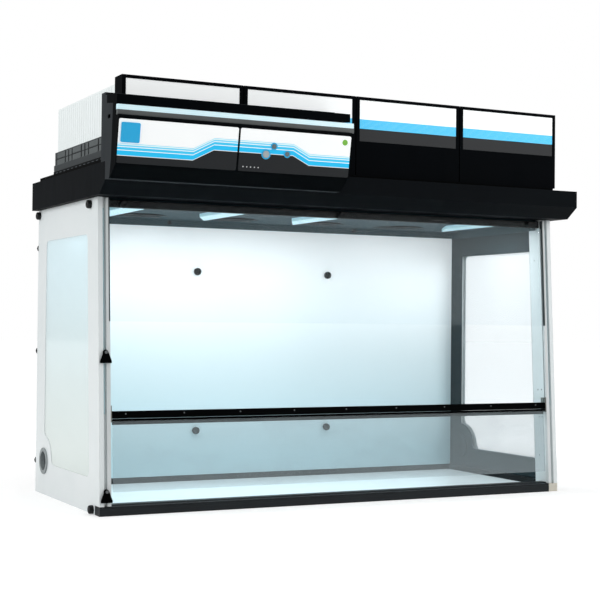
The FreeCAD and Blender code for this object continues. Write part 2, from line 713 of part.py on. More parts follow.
def build_flap():
    """Hinged lower flap and the rod that carries it."""
    body = new_body("flap_rod")
    prism(body, "x", "-(bar_half - 0.5)", "2 * (bar_half - 0.5)",
          [circle("rod_set", "rod_z", "rod_radius")])
    tail = [("rod_set", "rod_z - 2.9"), ("flap_set + flap_thick + 2.4", "rod_z - 2.9"),
            ("flap_set + flap_thick + 2.4", "rod_z"), ("rod_set", "rod_z")]
    prism(body, "x", "-flap_half", "2 * flap_half", [tail])
    flange = rect("flap_set + flap_thick", "flap_set + flap_thick + 2.4",
                  "rod_z - 16", "rod_z - 2.9")
    prism(body, "x", "-flap_half", "2 * flap_half", [flange])
    prism(body, "x", "-(post_x - 0.8)", "2 * (post_x - 0.8)",
          [circle("rod_set", "rod_z", "pin_radius")])
    lean_back(body)

    body = new_body("flap_pane")
    block(body, ("-flap_half", "flap_half"), ("flap_set", "flap_set + flap_thick"),
          ("flap_low", "flap_high"))
    round_edges(body, "4", lambda e: along(e, "y"))
    lean_back(body)


def build_catches():
    """Two bell-shaped turn catches with their studs in the groove of the left post."""
    for name, height in (("upper", "catch_upper_z"), ("lower", "catch_lower_z")):
        body = new_body("catch_" + name)
        centre = "-catch_x"
        outline = [(centre + " - catch_half", height + " - catch_drop"),
                   (centre + " + catch_half", height + " - catch_drop"),
                   (centre + " + catch_half", height + " - catch_drop + 7"),
                   (centre + " + catch_half - 4", height + " - catch_drop + 17"),
                   (centre + " + catch_head", height + " - 2"),
                   (centre + " + catch_head - 4", height + " + catch_head - 3"),
                   (centre + " - catch_head + 4", height + " + catch_head - 3"),
                   (centre + " - catch_head", height + " - 2"),
                   (centre + " - catch_half + 4", height + " - catch_drop + 17"),
                   (centre + " - catch_half", height + " - catch_drop + 7")]
        prism(body, "y", "-catch_stand - catch_thick", "catch_thick", [outline])
        prism(body, "y", "-catch_stand", "catch_stand", [circle(centre, height, "8.5")])
        prism(body, "y", "-catch_stand - catch_thick - 1", "catch_stand + catch_thick + 2",
              [circle(centre, height, "pin_radius + pin_fit")], cut=True)
        round_edges(body, "2", lambda e: along(e, "y") and e.BoundBox.YMax < -4)
        lean_back(body)
    body = new_body("catch_studs")
    spots = [("-catch_x", "catch_upper_z"), ("-catch_x", "catch_lower_z")]
    face = "-catch_stand - catch_thick - 0.2"
    prism(body, "y", face + " - 2.2", "2.2", [circle(a, b, "5") for a, b in spots])
    prism(body, "y", face, "catch_stand + catch_thick + 0.2 + 6",
          [circle(a, b, "pin_radius") for a, b in spots])
    feet = [rect("-(post_x + rebate_width - 0.5)", "-(post_x + strip_width + 0.8)",
                 "%s - 6" % b, "%s + 6" % b) for a, b in spots]
    prism(body, "y", "1.5", "4.5", feet)
    lean_back(body)


LAMPS = ["-740", "-370", "0", "678"]


def build_canopy():
    """Canopy tray, ceiling skirt and sheet, lit panels and raised deck."""
    body = new_body("canopy")
    outer = [("-canopy_toe", "hood_height"), ("canopy_back", "hood_height"),
             ("canopy_back", "canopy_top"), ("-canopy_front", "canopy_top"),
             ("-canopy_front", "canopy_brow")]
    prism(body, "x", "-canopy_half", "2 * canopy_half", [outer])
    inner = [("-canopy_toe + sheet", "hood_height + sheet"),
             ("canopy_back - sheet", "hood_height + sheet"),
             ("canopy_back - sheet", "canopy_top - sheet"),
             ("-canopy_front + sheet", "canopy_top - sheet"),
             ("-canopy_front + sheet", "canopy_brow + 2")]
    prism(body, "x", "-canopy_half + sheet", "2 * (canopy_half - sheet)", [inner], cut=True)
    block(body, ("-(post_x - 2)", "post_x - 2"), ("-skirt_front + 12", "back_front - 12"),
          ("hood_height - 1", "hood_height + sheet + 1"), cut=True)
    low = "air_mid - air_long / 2"
    high = "air_mid + air_long / 2"
    prism(body, "z", "canopy_top - sheet - 1", "sheet + 2",
          in_columns("air_wide / 2", low, high), cut=True)

    body = new_body("ceiling_frame")
    wide = "liner_x - seat_gap"
    slim = "post_x - 2"
    neck = front_at("skirt_low", "post_depth + 3")
    rear = "back_front - seat_gap"
    outline = [("-(%s)" % slim, "-skirt_front"), (slim, "-skirt_front"), (slim, neck),
               (wide, neck), (wide, rear), ("-(%s)" % wide, rear), ("-(%s)" % wide, neck),
               ("-(%s)" % slim, neck)]
    prism(body, "z", "skirt_low", "hood_height - skirt_low", [outline])
    inner = [("-(%s) + sheet" % slim, "-skirt_front + sheet"),
             (slim + " - sheet", "-skirt_front + sheet"),
             (slim + " - sheet", neck + " + sheet"), (wide + " - sheet", neck + " + sheet"),
             (wide + " - sheet", rear + " - sheet"), ("-(%s) + sheet" % wide, rear + " - sheet"),
             ("-(%s) + sheet" % wide, neck + " + sheet"),
             ("-(%s) + sheet" % slim, neck + " + sheet")]
    prism(body, "z", "skirt_low - 1", "hood_height - skirt_low + 2", [inner], cut=True)
    block(body, ("-(%s) + sheet" % slim, slim + " - sheet"),
          ("-skirt_front - 1", "-skirt_front + sheet + 1"), ("skirt_low - 1", "skirt_brow"), cut=True)
    holes = [circle(x, z, "3.2") for x, z in SKIRT_KNOBS]
    prism(body, "y", rear + " - sheet - 1", "sheet + 2", holes, cut=True)

    body = new_body("ceiling_sheet")
    prism(body, "z", "ceiling_low", "sheet", [inner])
    intakes = [circle(fan_x(k), "fan_y", "intake_radius") for k in range(4)]
    prism(body, "z", "ceiling_low - 1", "sheet + 2", intakes, cut=True)

    body = new_body("skirt_knobs")
    prism(body, "y", rear + " - sheet - 7", "7", [circle(x, z, "7") for x, z in SKIRT_KNOBS])
    prism(body, "y", rear + " - sheet", "sheet", [circle(x, z, "3") for x, z in SKIRT_KNOBS])

    body = new_body("light_panels")
    prism(body, "z", "ceiling_low - lamp_thick", "lamp_thick",
          [[("%s - lamp_wide / 2" % x, "-lamp_front"), ("%s + lamp_wide / 2" % x, "-lamp_front"),
            ("%s + lamp_wide / 2" % x, "lamp_rear"),
            ("%s - lamp_wide / 2" % x, "lamp_rear - lamp_slant")] for x in LAMPS])

    body = new_body("filter_deck")
    block(body, ("-deck_left", "deck_half"), ("-deck_front", "deck_back"),
          ("canopy_top", "deck_top"))
    block(body, ("-deck_left - 1", "-deck_step"), ("deck_back - 40", "deck_back + 1"),
          ("canopy_top - 1", "deck_top + 1"), cut=True)
    prism(body, "z", "canopy_top - 1", "deck_top - canopy_top + 2",
          in_columns("air_wide / 2", low, high), cut=True)


def build_fans():
    """Fan motors on one cross bar, impellers on their shafts and guard bars below."""
    body = new_body("fan_motors")
    top = "canopy_top - sheet"
    block(body, ("-deck_half", "deck_half"), ("fan_y - 16", "fan_y + 16"), (top + " - 4", top))
    prism(body, "z", top + " - 36", "32",
          [circle(fan_x(k), "fan_y", "motor_radius") for k in range(4)])
    foot = "ceiling_low + fan_rise + 2"
    prism(body, "z", foot, "canopy_top - sheet - 36 - (%s)" % foot,
          [circle(fan_x(k), "fan_y", "shaft_radius") for k in range(4)])

    for k in range(4):
        body = new_body("fan_impeller_%d" % (k + 1))
        prism(body, "z", "fan_rise", "31", [[
            ("blade_inner", "0"), ("(blade_outer - 1) * cos(28)", "(blade_outer - 1) * sin(28)"),
            ("(blade_outer - 1) * cos(30.5)", "(blade_outer - 1) * sin(30.5)"),
            ("blade_inner * cos(4)", "blade_inner * sin(4)")]])
        spin(body, 8)
        prism(body, "z", "fan_rise + 30", "3", [circle("0", "0", "blade_outer")])
        prism(body, "z", "fan_rise + 4", "27", [circle("0", "0", "14")])
        prism(body, "z", "fan_rise - 5", "45", [circle("0", "0", "shaft_radius + shaft_fit")],
              cut=True)
        body.setExpression("Placement.Base.x", bound(fan_x(k)))
        body.setExpression("Placement.Base.y", bound("fan_y"))
        body.setExpression("Placement.Base.z", bound("ceiling_low"))

    body = new_body("fan_guards")
    for shift in ("-34", "34"):
        bars = [rect("%s - 99" % fan_x(k), "%s + 99" % fan_x(k),
                     "fan_y + (%s) - 1.5" % shift, "fan_y + (%s) + 1.5" % shift) for k in range(4)]
        prism(body, "z", "ceiling_low - 3", "3", bars)


def build_columns():
    """Column bases, cassettes, filters and fascia covers."""
    half = "column_width / 2"
    opening = in_columns("air_wide / 2", "-base_front + 20", "base_back - 20")
    body = new_body("column_bases")
    prism(body, "z", "deck_top", "base_top - deck_top",
          in_columns(half, "-base_front", "base_back"))
    prism(body, "z", "deck_top - 1", "base_top - deck_top + 2", opening, cut=True)
    prism(body, "z", "base_top - 11", "6",
          in_columns(half + " + 1", "base_back - 50", "base_back - 24"), cut=True)
    repeat(body, "y", "46", 12)

    body = new_body("filter_cassettes")
    prism(body, "z", "base_top", "22", in_columns(half, "-base_front", "cassette_back"))
    prism(body, "z", "base_top + 22", "cassette_top - base_top - 26",
          in_columns(half + " - 5", "-base_front + 3", "cassette_back - 3"))
    prism(body, "z", "cassette_top - 4", "4",
          in_columns(half + " - 3", "-base_front + 3", "cassette_back - 3"))
    low = "base_top + 22"
    tall = "cassette_top - base_top - 26"
    seam = "(base_top + 22 + cassette_top) / 2"
    for near, far, times in (("163", "133", 3), ("202", "172", 3), ("22", "3", 1)):
        prism(body, "z", low, tall, in_columns(half + " - 3", "cassette_back - " + near,
                                               "cassette_back - " + far))
        if times > 1:
            repeat(body, "y", "cassette_step", times)
    for bottom, top in ((low, seam + " - 0.8"), (seam + " + 0.8", "cassette_top - 4")):
        rise = "(%s) - (%s)" % (top, bottom)
        prism(body, "z", bottom, rise, in_columns(half + " - 3", "cassette_back - 124",
                                                  "cassette_back - 26"))
        repeat(body, "y", "cassette_step", 3)
        prism(body, "z", bottom, rise, in_columns(half + " - 3", "-base_front + 3",
                                                  "cassette_back - 26 - 3 * cassette_step"))
    opening = in_columns("air_wide / 2", "-base_front + 20", "filter_back - 20")
    prism(body, "z", "base_top - 1", "cassette_top - base_top + 2", opening, cut=True)

    body = new_body("carbon_filters")
    prism(body, "z", "cassette_top", "filter_top - cassette_top",
          in_columns(half + " - 6", "-filter_front", "filter_back"))
    prism(body, "z", "cassette_top + 6", "filter_top - cassette_top - 12",
          in_columns(half + " - 4", "filter_back - 14", "filter_back - 4"))
    repeat(body, "y", "24", 25)

    body = new_body("fascia_frames")
    prism(body, "z", "deck_top", "fascia_top - deck_top",
          in_columns(half, "-fascia_front", "-fascia_back"))
    prism(body, "z", "deck_top + fascia_wall", "fascia_top - deck_top - 2 * fascia_wall",
          in_columns(half + " - fascia_wall", "-fascia_front + 13", "-fascia_back + 1"), cut=True)
    windows = [rect("%s - (%s) + fascia_margin" % (column_x(k), half),
                    "%s + (%s) - fascia_margin" % (column_x(k), half),
                    "fascia_window_low", "fascia_window_high") for k in range(4)]
    prism(body, "y", "-fascia_front - 1", "7", windows, cut=True)

    body = new_body("fascia_panels")
    gap = "seat_gap"
    panels = [rect("%s - (%s) + fascia_margin + %s" % (column_x(k), half, gap),
                   "%s + (%s) - fascia_margin - %s" % (column_x(k), half, gap),
                   "fascia_window_low + " + gap, "fascia_window_high - " + gap) for k in range(4)]
    prism(body, "y", "-fascia_front + 1", "5", panels)


def face_point(up, deep):
    """Return Y and Z of a point on the leaning control face, some way behind it."""
    return ("-face_low_y - (%s) * sin(face_angle) + (%s) * cos(face_angle)" % (up, deep),
            "face_low_z + (%s) * cos(face_angle) + (%s) * sin(face_angle)" % (up, deep))


PLATES = [("control_plate_left", "-919", "-517"), ("control_plate_right", "-510", "-108")]
BUTTONS = [("power_button", "-416", "61", "11.5"), ("select_button", "-389", "88", "7.5"),
           ("mute_button", "-340", "66", "7.5")]


def build_control():
    """Control unit: shell, leaning front, bar, strips, plates, buttons and lamp."""
    ends = ("-unit_left", "unit_left - unit_right")
    shell = "shell_thick"
    body = new_body("control_shell")
    outline = [("-unit_back", "canopy_top"), ("-unit_back", "unit_top"),
               ("-unit_back - 36", "unit_top"), ("-unit_back - 36", "unit_top - 11"),
               ("-cap_back", "unit_top - 11"), ("-cap_back", "heel_z"),
               ("-cheek_top_y", "cheek_top_z"), ("-cheek_mid_y", "cheek_mid_z"),
               ("-cheek_low_y", "chin_z"), ("-canopy_front", "chin_z"),
               ("-canopy_front", "canopy_top")]
    prism(body, "x", *ends, [outline])
    cavity = [("-unit_back - shell_thick", "canopy_top + shell_thick"),
              ("-unit_back - shell_thick", "unit_top - 11 - shell_thick"),
              ("-cap_back + shell_thick", "unit_top - 11 - shell_thick"),
              ("-cap_back + shell_thick", "heel_z - shell_thick"),
              ("-cheek_top_y - 2", "cheek_top_z - shell_thick"),
              ("-cheek_mid_y - 2", "cheek_mid_z"), ("-cheek_low_y - 2", "chin_z + shell_thick"),
              ("-canopy_front - shell_thick", "chin_z + shell_thick"),
              ("-canopy_front - shell_thick", "canopy_top + shell_thick")]
    prism(body, "x", "-unit_left + " + shell, "unit_left - unit_right - 2 * " + shell,
          [cavity], cut=True)
    prism(body, "x", "-unit_left - 1", "shell_thick + 2",
          [rect("-487", "-461", "1253.5", "1266.5")], cut=True)

    body = new_body("control_front")
    outline = [("-cheek_top_y - seat_gap", "cheek_top_z"), ("-ledge_y", "strip_head + 2.6"),
               ("-ledge_y", "ledge_z"), ("-face_high_y + 4", "ledge_z"),
               ("-face_high_y", "ledge_z - 5"), ("-face_high_y", "face_high_z"),
               ("-face_low_y", "face_low_z"), ("-chin_y", "chin_z"),
               ("-cheek_low_y - seat_gap", "chin_z"), ("-cheek_mid_y - seat_gap", "cheek_mid_z")]
    prism(body, "x", *ends, [outline])
    cavity = [("-cheek_top_y + 1.5", "strip_head - 2"), ("-ledge_y + 3", "strip_head - 2"),
              ("-ledge_y + 3", "ledge_z - 4"), ("-face_high_y + 9", "face_high_z - 2"),
              ("-face_low_y + 8.5", "face_low_z + 3"), ("-chin_y - 5", "chin_z + 11"),
              ("-chin_y - 1", "chin_z + 14"), ("-cheek_mid_y + 2", "cheek_mid_z")]
    prism(body, "x", "-unit_left + 3", "unit_left - unit_right - 6", [cavity], cut=True)
    recess = [face_point("plate_low - 0.3", "-2"), face_point("plate_low - 0.3", "plate_thick"),
              face_point("plate_low + plate_tall + 0.3", "plate_thick"),
              face_point("plate_low + plate_tall + 0.3", "-2")]
    for name, low, high in PLATES:
        prism(body, "x", "%s - 0.3" % low, "(%s) - (%s) + 0.6" % (high, low), [recess], cut=True)
    deep = "plate_thick + 6 + 2 * button_travel"
    room = [face_point("40", "1"), face_point("40", deep), face_point("102", deep),
            face_point("102", "1")]
    prism(body, "x", "-440", "115", [room], cut=True)

    body = new_body("control_top_bar")
    outline = [("-cap_back - seat_gap", "unit_top - 4"), ("-cap_front", "cap_lip"),
               ("-cap_front", "cap_under"), ("-cap_back - seat_gap", "cap_heel")]
    prism(body, "x", *ends, [outline])

    strip_ends = ("-unit_left + 3", "unit_left - 3 - strip_right")
    body = new_body("light_strip")
    outline = rect("-strip_front", "-ledge_y - seat_gap", "strip_foot", "strip_head")
    prism(body, "x", *strip_ends, [outline])
    body = new_body("strip_base")
    top = "strip_foot - seat_gap"
    outline = [("-cap_front", "ledge_z + 1.5"), ("-ledge_y - seat_gap", "ledge_z + seat_gap"),
               ("-ledge_y - seat_gap", top), ("-cap_front", top)]
    prism(body, "x", *strip_ends, [outline])
    round_edges(body, "3", lambda e: along(e, "x") and e.CenterOfMass.y < 1 - size("cap_front"))

    for name, low, high in PLATES:
        body = new_body(name)
        block(body, (low, high), ("0.2", "plate_thick"), ("plate_low", "plate_low + plate_tall"))
        round_edges(body, "plate_round", lambda e: along(e, "y"))
        if name.endswith("right"):
            holes = [circle(x, z, radius + " + 0.3") for label, x, z, radius in BUTTONS]
            prism(body, "y", "-1", "plate_thick + 2", holes + [circle("-130", "118", "9.8")],
                  cut=True)
        lean_forward(body)

    body = new_body("badge_plate")
    block(body, ("-911", "-849"), ("-2.8", "0.2"), ("67", "129"))
    round_edges(body, "5", lambda e: along(e, "y"))
    lean_forward(body)

    body = new_body("button_bezels")
    rings = [circle(x, z, radius + " + bezel_wide") for label, x, z, radius in BUTTONS]
    prism(body, "y", "-1.6", "1.8", rings)
    rings = [circle(x, z, radius + " + 0.5") for label, x, z, radius in BUTTONS]
    prism(body, "y", "-2", "3", rings, cut=True)
    lean_forward(body)

    for label, across, up, radius in BUTTONS:
        body = new_body(label)
        prism(body, "y", "-3.2", "plate_thick + 3.3", [circle(across, up, radius)])
        prism(body, "y", "plate_thick + 0.1", "1.4", [circle(across, up, radius + " + 2.2")])
        reach = float(radius)
        round_edges(body, "1", lambda e: ring_at(e, "y", -3.2, reach))
        lean_forward(body)

    body = new_body("status_lamp")
    prism(body, "y", "-0.6", "plate_thick + 0.6", [circle("-130", "118", "9.5")])
    lean_forward(body)

    body = new_body("control_board")
    back = "-unit_back - board_set"
    block(body, ("-700", "-300"), (back + " - 2", back), ("1150", "1270"))
    posts = [circle(x, z, "4") for x in ("-690", "-310") for z in ("1160", "1260")]
    prism(body, "y", back, "board_set - shell_thick", posts)
    prism(body, "y", back + " - 14", "14", [rect("-640", "-560", "1190", "1240"),
                                             rect("-450", "-380", "1200", "1250")])


build_base()
for side_sign, side_name in ((1, "right"), (-1, "left")):
    build_side(side_sign, side_name)
build_ports()
build_back()
build_knobs()
build_front()
build_flap()
build_catches()
build_canopy()
build_fans()
build_columns()
build_control()

doc.recompute()
for item in doc.Objects:
    if "Invalid" in item.State or "Error" in item.State:
        raise ValueError("broken object: " + item.Label)
for body in bodies:
    shape = body.Shape
    if shape.isNull() or not shape.isValid() or not shape.Solids:
        raise ValueError("bad shape: " + body.Label)
    shape.exportStep("parts/%s.step" % body.Label)
    print("%-20s solids %d volume %.0f" % (body.Label, len(shape.Solids), shape.Volume))
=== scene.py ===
"""Looks of the ductless fume hood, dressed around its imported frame.

Lengths are metres. X runs along the front, Y from front to back, Z up. The
origin is the middle of the footprint of the side panels, on the bench.
"""

import logging
import math
from dataclasses import dataclass
from enum import Enum
from typing import Optional, Protocol, Union

import bmesh
import bpy
import numpy as np
from mathutils import Matrix


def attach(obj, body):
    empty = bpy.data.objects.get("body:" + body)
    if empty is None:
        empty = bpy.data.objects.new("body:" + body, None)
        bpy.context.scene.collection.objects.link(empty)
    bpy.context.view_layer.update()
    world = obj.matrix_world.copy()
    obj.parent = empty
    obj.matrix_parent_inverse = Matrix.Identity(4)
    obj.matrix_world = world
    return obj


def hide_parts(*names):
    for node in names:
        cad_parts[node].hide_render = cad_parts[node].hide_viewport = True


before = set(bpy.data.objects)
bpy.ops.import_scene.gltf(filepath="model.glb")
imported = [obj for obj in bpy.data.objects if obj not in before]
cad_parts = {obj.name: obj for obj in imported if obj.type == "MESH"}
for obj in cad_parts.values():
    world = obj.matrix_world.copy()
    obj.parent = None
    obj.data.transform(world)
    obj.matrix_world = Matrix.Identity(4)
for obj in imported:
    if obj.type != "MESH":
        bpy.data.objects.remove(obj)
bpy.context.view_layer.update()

LOG = logging.getLogger("fume_hood")
Colour = tuple[float, float, float, float]
Triple = tuple[float, float, float]

SIDE_HEIGHT = 1.024
FRONT_SETBACK = 0.0585
FRONT_Y = -0.366
FRONT_LEAN = math.atan(FRONT_SETBACK / SIDE_HEIGHT)
FRONT_OUT = (0.0, -math.cos(FRONT_LEAN), math.sin(FRONT_LEAN))

CYAN = "29bdf0"
PALE_CYAN = "9fdff5"
PRINT_DARK = "1c1e20"
PRINT_DARK_WORN = "24272a"
PRINT_WHITE = "fbfdfd"
PRINT_EDGE = 0.0004
ACRYLIC_BEND = 1.49


def tint(code: str) -> Colour:
    """Turn a six-digit sRGB code into a linear colour.

    Args:
        code: six hexadecimal digits, red first.

    Returns:
        Linear red, green, blue and a full alpha.
    """
    parts = np.array([int(code[place:place + 2], 16) for place in (0, 2, 4)]) / 255
    linear = np.where(parts <= 0.04045, parts / 12.92, ((parts + 0.055) / 1.055) ** 2.4)
    return (float(linear[0]), float(linear[1]), float(linear[2]), 1.0)


def grey(level: float) -> Colour:
    """Return the same linear level in all three channels, with a full alpha."""
    return (level, level, level, 1.0)


class Slope(Enum):
    """How a mask climbs from nothing to full."""

    EVEN = "LINEAR"
    EASED = "SMOOTHSTEP"


Number = Union["Value", float, int]


class Value:
    """A number socket of a material that takes part in plain arithmetic."""

    def __init__(self, recipe: "Recipe", socket: bpy.types.NodeSocket) -> None:
        """Wrap one socket of a recipe."""
        self.recipe = recipe
        self.socket = socket

    def _math(self, operation: str, first: Number, second: Number = 0.0) -> "Value":
        """Add one Math node and return its result."""
        node = self.recipe.add("ShaderNodeMath", {"operation": operation}, {0: first, 1: second})
        return Value(self.recipe, node.outputs[0])

    def __add__(self, other: Number) -> "Value":
        """Return self + other."""
        return self._math("ADD", self, other)

    __radd__ = __add__

    def __sub__(self, other: Number) -> "Value":
        """Return self - other."""
        return self._math("SUBTRACT", self, other)

    def __rsub__(self, other: Number) -> "Value":
        """Return other - self."""
        return self._math("SUBTRACT", other, self)

    def __mul__(self, other: Number) -> "Value":
        """Return self * other."""
        return self._math("MULTIPLY", self, other)

    __rmul__ = __mul__

    def __truediv__(self, other: Number) -> "Value":
        """Return self / other."""
        return self._math("DIVIDE", self, other)

    def size(self) -> "Value":
        """Return the value without its sign."""
        return self._math("ABSOLUTE", self)

    def part(self) -> "Value":
        """Return the part after the point."""
        return self._math("FRACT", self)

    def most(self, other: Number) -> "Value":
        """Return the larger of the two."""
        return self._math("MAXIMUM", self, other)

    def least(self, other: Number) -> "Value":
        """Return the smaller of the two."""
        return self._math("MINIMUM", self, other)

    def climb(self, low: float, high: float, slope: Slope = Slope.EASED) -> "Value":
        """Return a mask that climbs from 0 at low to 1 at high.

        Args:
            low: value where the mask starts.
            high: value where the mask is full.
            slope: shape of the climb.

        Returns:
            The mask, held between 0 and 1.
        """
        node = self.recipe.add(
            "ShaderNodeMapRange", {"interpolation_type": slope.value, "clamp": True},
            {"Value": self, "From Min": low, "From Max": high})
        return Value(self.recipe, node.outputs["Result"])

    def below(self, level: float, soft: float = PRINT_EDGE) -> "Value":
        """Return a mask that is 1 under a level and 0 over it."""
        return 1 - self.climb(level - soft, level + soft)

    def band(self, low: float, high: float, soft: float = PRINT_EDGE) -> "Value":
        """Return a mask that is 1 between two values and 0 outside them."""
        return self.climb(low - soft, low + soft) * self.below(high, soft)

    def near(self, reach: float, soft: float = PRINT_EDGE) -> "Value":
        """Return a mask that is 1 within a reach on both sides of 0."""
        return self.size().below(reach, soft)


class Recipe:
    """A node material that is put together step by step."""

    closing = "ShaderNodeOutputMaterial"

    def __init__(self, name: str) -> None:
        """Start with an empty node tree."""
        self.owner = self.start(name)
        self.owner.use_nodes = True
        self.tree = self.owner.node_tree
        self.tree.nodes.clear()
        self._place: Optional[bpy.types.Node] = None

    def start(self, name: str) -> bpy.types.ID:
        """Return a new material."""
        return bpy.data.materials.new(name)

    def add(self, kind: str, settings: Optional[dict] = None,
            inputs: Optional[dict] = None) -> bpy.types.Node:
        """Add one node.

        Args:
            kind: node type.
            settings: properties, set first.
            inputs: socket name or number to a value, a Value or a socket.

        Returns:
            The new node.
        """
        node = self.tree.nodes.new(kind)
        for key, value in (settings or {}).items():
            setattr(node, key, value)
        for key, value in (inputs or {}).items():
            if isinstance(value, Value):
                value = value.socket
            if isinstance(value, bpy.types.NodeSocket):
                self.tree.links.new(value, node.inputs[key])
            else:
                node.inputs[key].default_value = value
        return node

    def place(self) -> bpy.types.NodeSocket:
        """Read the object coordinates, through one node for the whole recipe.

        Returns:
            A vector socket.
        """
        if self._place is None:
            self._place = self.add("ShaderNodeTexCoord")
        return self._place.outputs["Object"]

    def axes(self) -> tuple[Value, Value, Value]:
        """Return the object coordinates as three values."""
        node = self.add("ShaderNodeSeparateXYZ", inputs={0: self.place()})
        return (Value(self, node.outputs[0]), Value(self, node.outputs[1]),
                Value(self, node.outputs[2]))

    def facing(self) -> tuple[Value, Value, Value]:
        """Return the three parts of the true surface direction, fixed to the piece."""
        node = self.add("ShaderNodeSeparateXYZ", inputs={
            0: self.add("ShaderNodeTexCoord").outputs["Normal"]})
        return (Value(self, node.outputs[0]), Value(self, node.outputs[1]),
                Value(self, node.outputs[2]))

    def noise(self, scale: float, detail: float = 2.0, stretch: tuple = (1.0, 1.0, 1.0)) -> Value:
        """Return smooth noise.

        Args:
            scale: how many blotches to the metre.
            detail: how much finer noise is laid on top.
            stretch: factor on each axis before the noise.

        Returns:
            The noise, near 0 to 1.
        """
        spot = self.add("ShaderNodeVectorMath", {"operation": "MULTIPLY"},
                        {0: self.place(), 1: stretch})
        node = self.add("ShaderNodeTexNoise", {"noise_dimensions": "3D"}, {
            "Vector": spot.outputs[0], "Scale": scale, "Detail": detail, "Roughness": 0.55})
        return Value(self, node.outputs["Fac"])

    def blend(self, mask: Number, low: Union[Colour, bpy.types.NodeSocket],
              high: Union[Colour, bpy.types.NodeSocket]) -> bpy.types.NodeSocket:
        """Mix two colours by a mask, low where it is 0.

        Of a Mix node's sockets, 6 and 7 take the two colours, and output 2 gives theirs.
        """
        node = self.add("ShaderNodeMix", {"data_type": "RGBA"}, {0: mask, 6: low, 7: high})
        return node.outputs[2]

    def relief(self, height: Value, depth: float, strength: float = 1.0,
               soften: float = 0.0) -> bpy.types.NodeSocket:
        """Return a surface direction disturbed by a height.

        Args:
            height: height pattern, 0 to 1.
            depth: how many metres the pattern stands up.
            strength: share of the effect.
            soften: radius of softened edges, or 0 for none.

        Returns:
            A direction socket.
        """
        inputs = {"Height": height, "Distance": depth, "Strength": strength}
        if soften > 0:
            rounded = self.add("ShaderNodeBevel", {"samples": 4}, {"Radius": soften})
            inputs["Normal"] = rounded.outputs[0]
        return self.add("ShaderNodeBump", inputs=inputs).outputs[0]

    def edge_wear_and_highlight(self, reach: float) -> Value:
        """Find the outer edges, for rubbed wear and a painted highlight, by how far a rounded edge
        would turn there.

        Args:
            reach: radius of that rounded edge.

        Returns:
            A mask that is full on the edges.
        """
        rounded = self.add("ShaderNodeBevel", {"samples": 4}, {"Radius": reach})
        true = self.add("ShaderNodeNewGeometry")
        turn = self.add("ShaderNodeVectorMath", {"operation": "DOT_PRODUCT"},
                        {0: rounded.outputs[0], 1: true.outputs["True Normal"]})
        return (1 - Value(self, turn.outputs["Value"])).climb(0.02, 0.22)

    def seen_by(self, first: str, *others: str) -> Value:
        """Find the rays by which a surface is seen.

        Args:
            first: a kind of ray, such as Camera, Glossy or Transmission.
            others: more kinds.

        Returns:
            A mask that is 1 for any of those rays.
        """
        path = self.add("ShaderNodeLightPath")
        seen = Value(self, path.outputs["Is %s Ray" % first])
        for ray in others:
            seen = seen.most(Value(self, path.outputs["Is %s Ray" % ray]))
        return seen

    def shade(self, **sockets: object) -> bpy.types.Node:
        """Add the Principled shader with its sockets named with underscores."""
        return self.add("ShaderNodeBsdfPrincipled", inputs={
            key.replace("_", " "): value for key, value in sockets.items()})

    def close(self, shader: bpy.types.NodeSocket) -> bpy.types.ID:
        """Join the shader to the output and return what the tree belongs to."""
        self.add(self.closing, inputs={"Surface": shader})
        return self.owner


class WorldRecipe(Recipe):
    """A node world that is put together in the same way."""

    closing = "ShaderNodeOutputWorld"

    def start(self, name: str) -> bpy.types.ID:
        """Return a new world."""
        return bpy.data.worlds.new(name)


class Finish(Protocol):
    """Anything that can make a material."""

    name: str

    def make(self) -> bpy.types.Material:
        """Return the material."""


@dataclass(frozen=True)
class Coat:
    """Painted sheet or moulded plastic: mottled colour, fine skin and rubbed edges, lightened
    partly as wear and partly as a painted highlight.
    """

    name: str
    colour: str
    shadow: str
    edge: str
    rough: float = 0.45
    gloss: float = 0.5
    skin: float = 700.0
    depth: float = 0.00002
    soften: float = 0.001
    varnish: float = 0.0
    mottle: float = 5.0
    smear: float = 18.0
    smear_stretch: Triple = (1.0, 1.0, 0.25)
    rub: float = 60.0

    def make(self) -> bpy.types.Material:
        """Mottle the colour, lighten the edges as rubbed wear and painted highlight, and lay a fine
        skin over all.

        Returns:
            The material.
        """
        recipe = Recipe(self.name)
        broad = recipe.noise(self.mottle, 3.0)
        fine = recipe.noise(self.skin, 2.0)
        smears = recipe.noise(self.smear, 4.0, self.smear_stretch).climb(0.48, 0.72)
        body = recipe.blend(broad.climb(0.3, 0.7) * 0.9 + fine * 0.1,
                            tint(self.shadow), tint(self.colour))
        # painted highlight and rubbed wear: the edge colour lightens the rounded edges, in random
        # patches
        edge = recipe.edge_wear_and_highlight(self.soften * 1.6) * recipe.noise(self.rub, 3.0).climb(0.25, 0.6)
        colour = recipe.blend(edge * 0.7, body, tint(self.edge))
        rough = self.rough + smears * 0.04 + (fine - 0.5) * 0.06 - edge * 0.06
        shader = recipe.shade(
            Base_Color=colour, Roughness=rough, Specular_IOR_Level=self.gloss,
            Coat_Weight=self.varnish, Coat_Roughness=0.12,
            Normal=recipe.relief(fine, self.depth, 0.4, self.soften))
        return recipe.close(shader.outputs[0])


@dataclass(frozen=True)
class Rolled:
    """Bare steel with long fine scratches of the rolling direction."""

    name: str
    colour: str
    shadow: str
    rough: float = 0.34
    along: Triple = (0.04, 1.0, 1.0)
    scratches: float = 900.0
    mottle: float = 14.0

    def make(self) -> bpy.types.Material:
        """Draw the scratches in colour, roughness and relief.

        Returns:
            The material.
        """
        recipe = Recipe(self.name)
        lines = recipe.noise(self.scratches, 3.0, self.along)
        cloud = recipe.noise(self.mottle, 3.0)
        colour = recipe.blend(lines * 0.6 + cloud * 0.4, tint(self.shadow), tint(self.colour))
        shader = recipe.shade(
            Base_Color=colour, Roughness=self.rough + lines * 0.14, Metallic=0.9,
            Normal=recipe.relief(lines, 0.00004, 0.5, 0.0006))
        return recipe.close(shader.outputs[0])


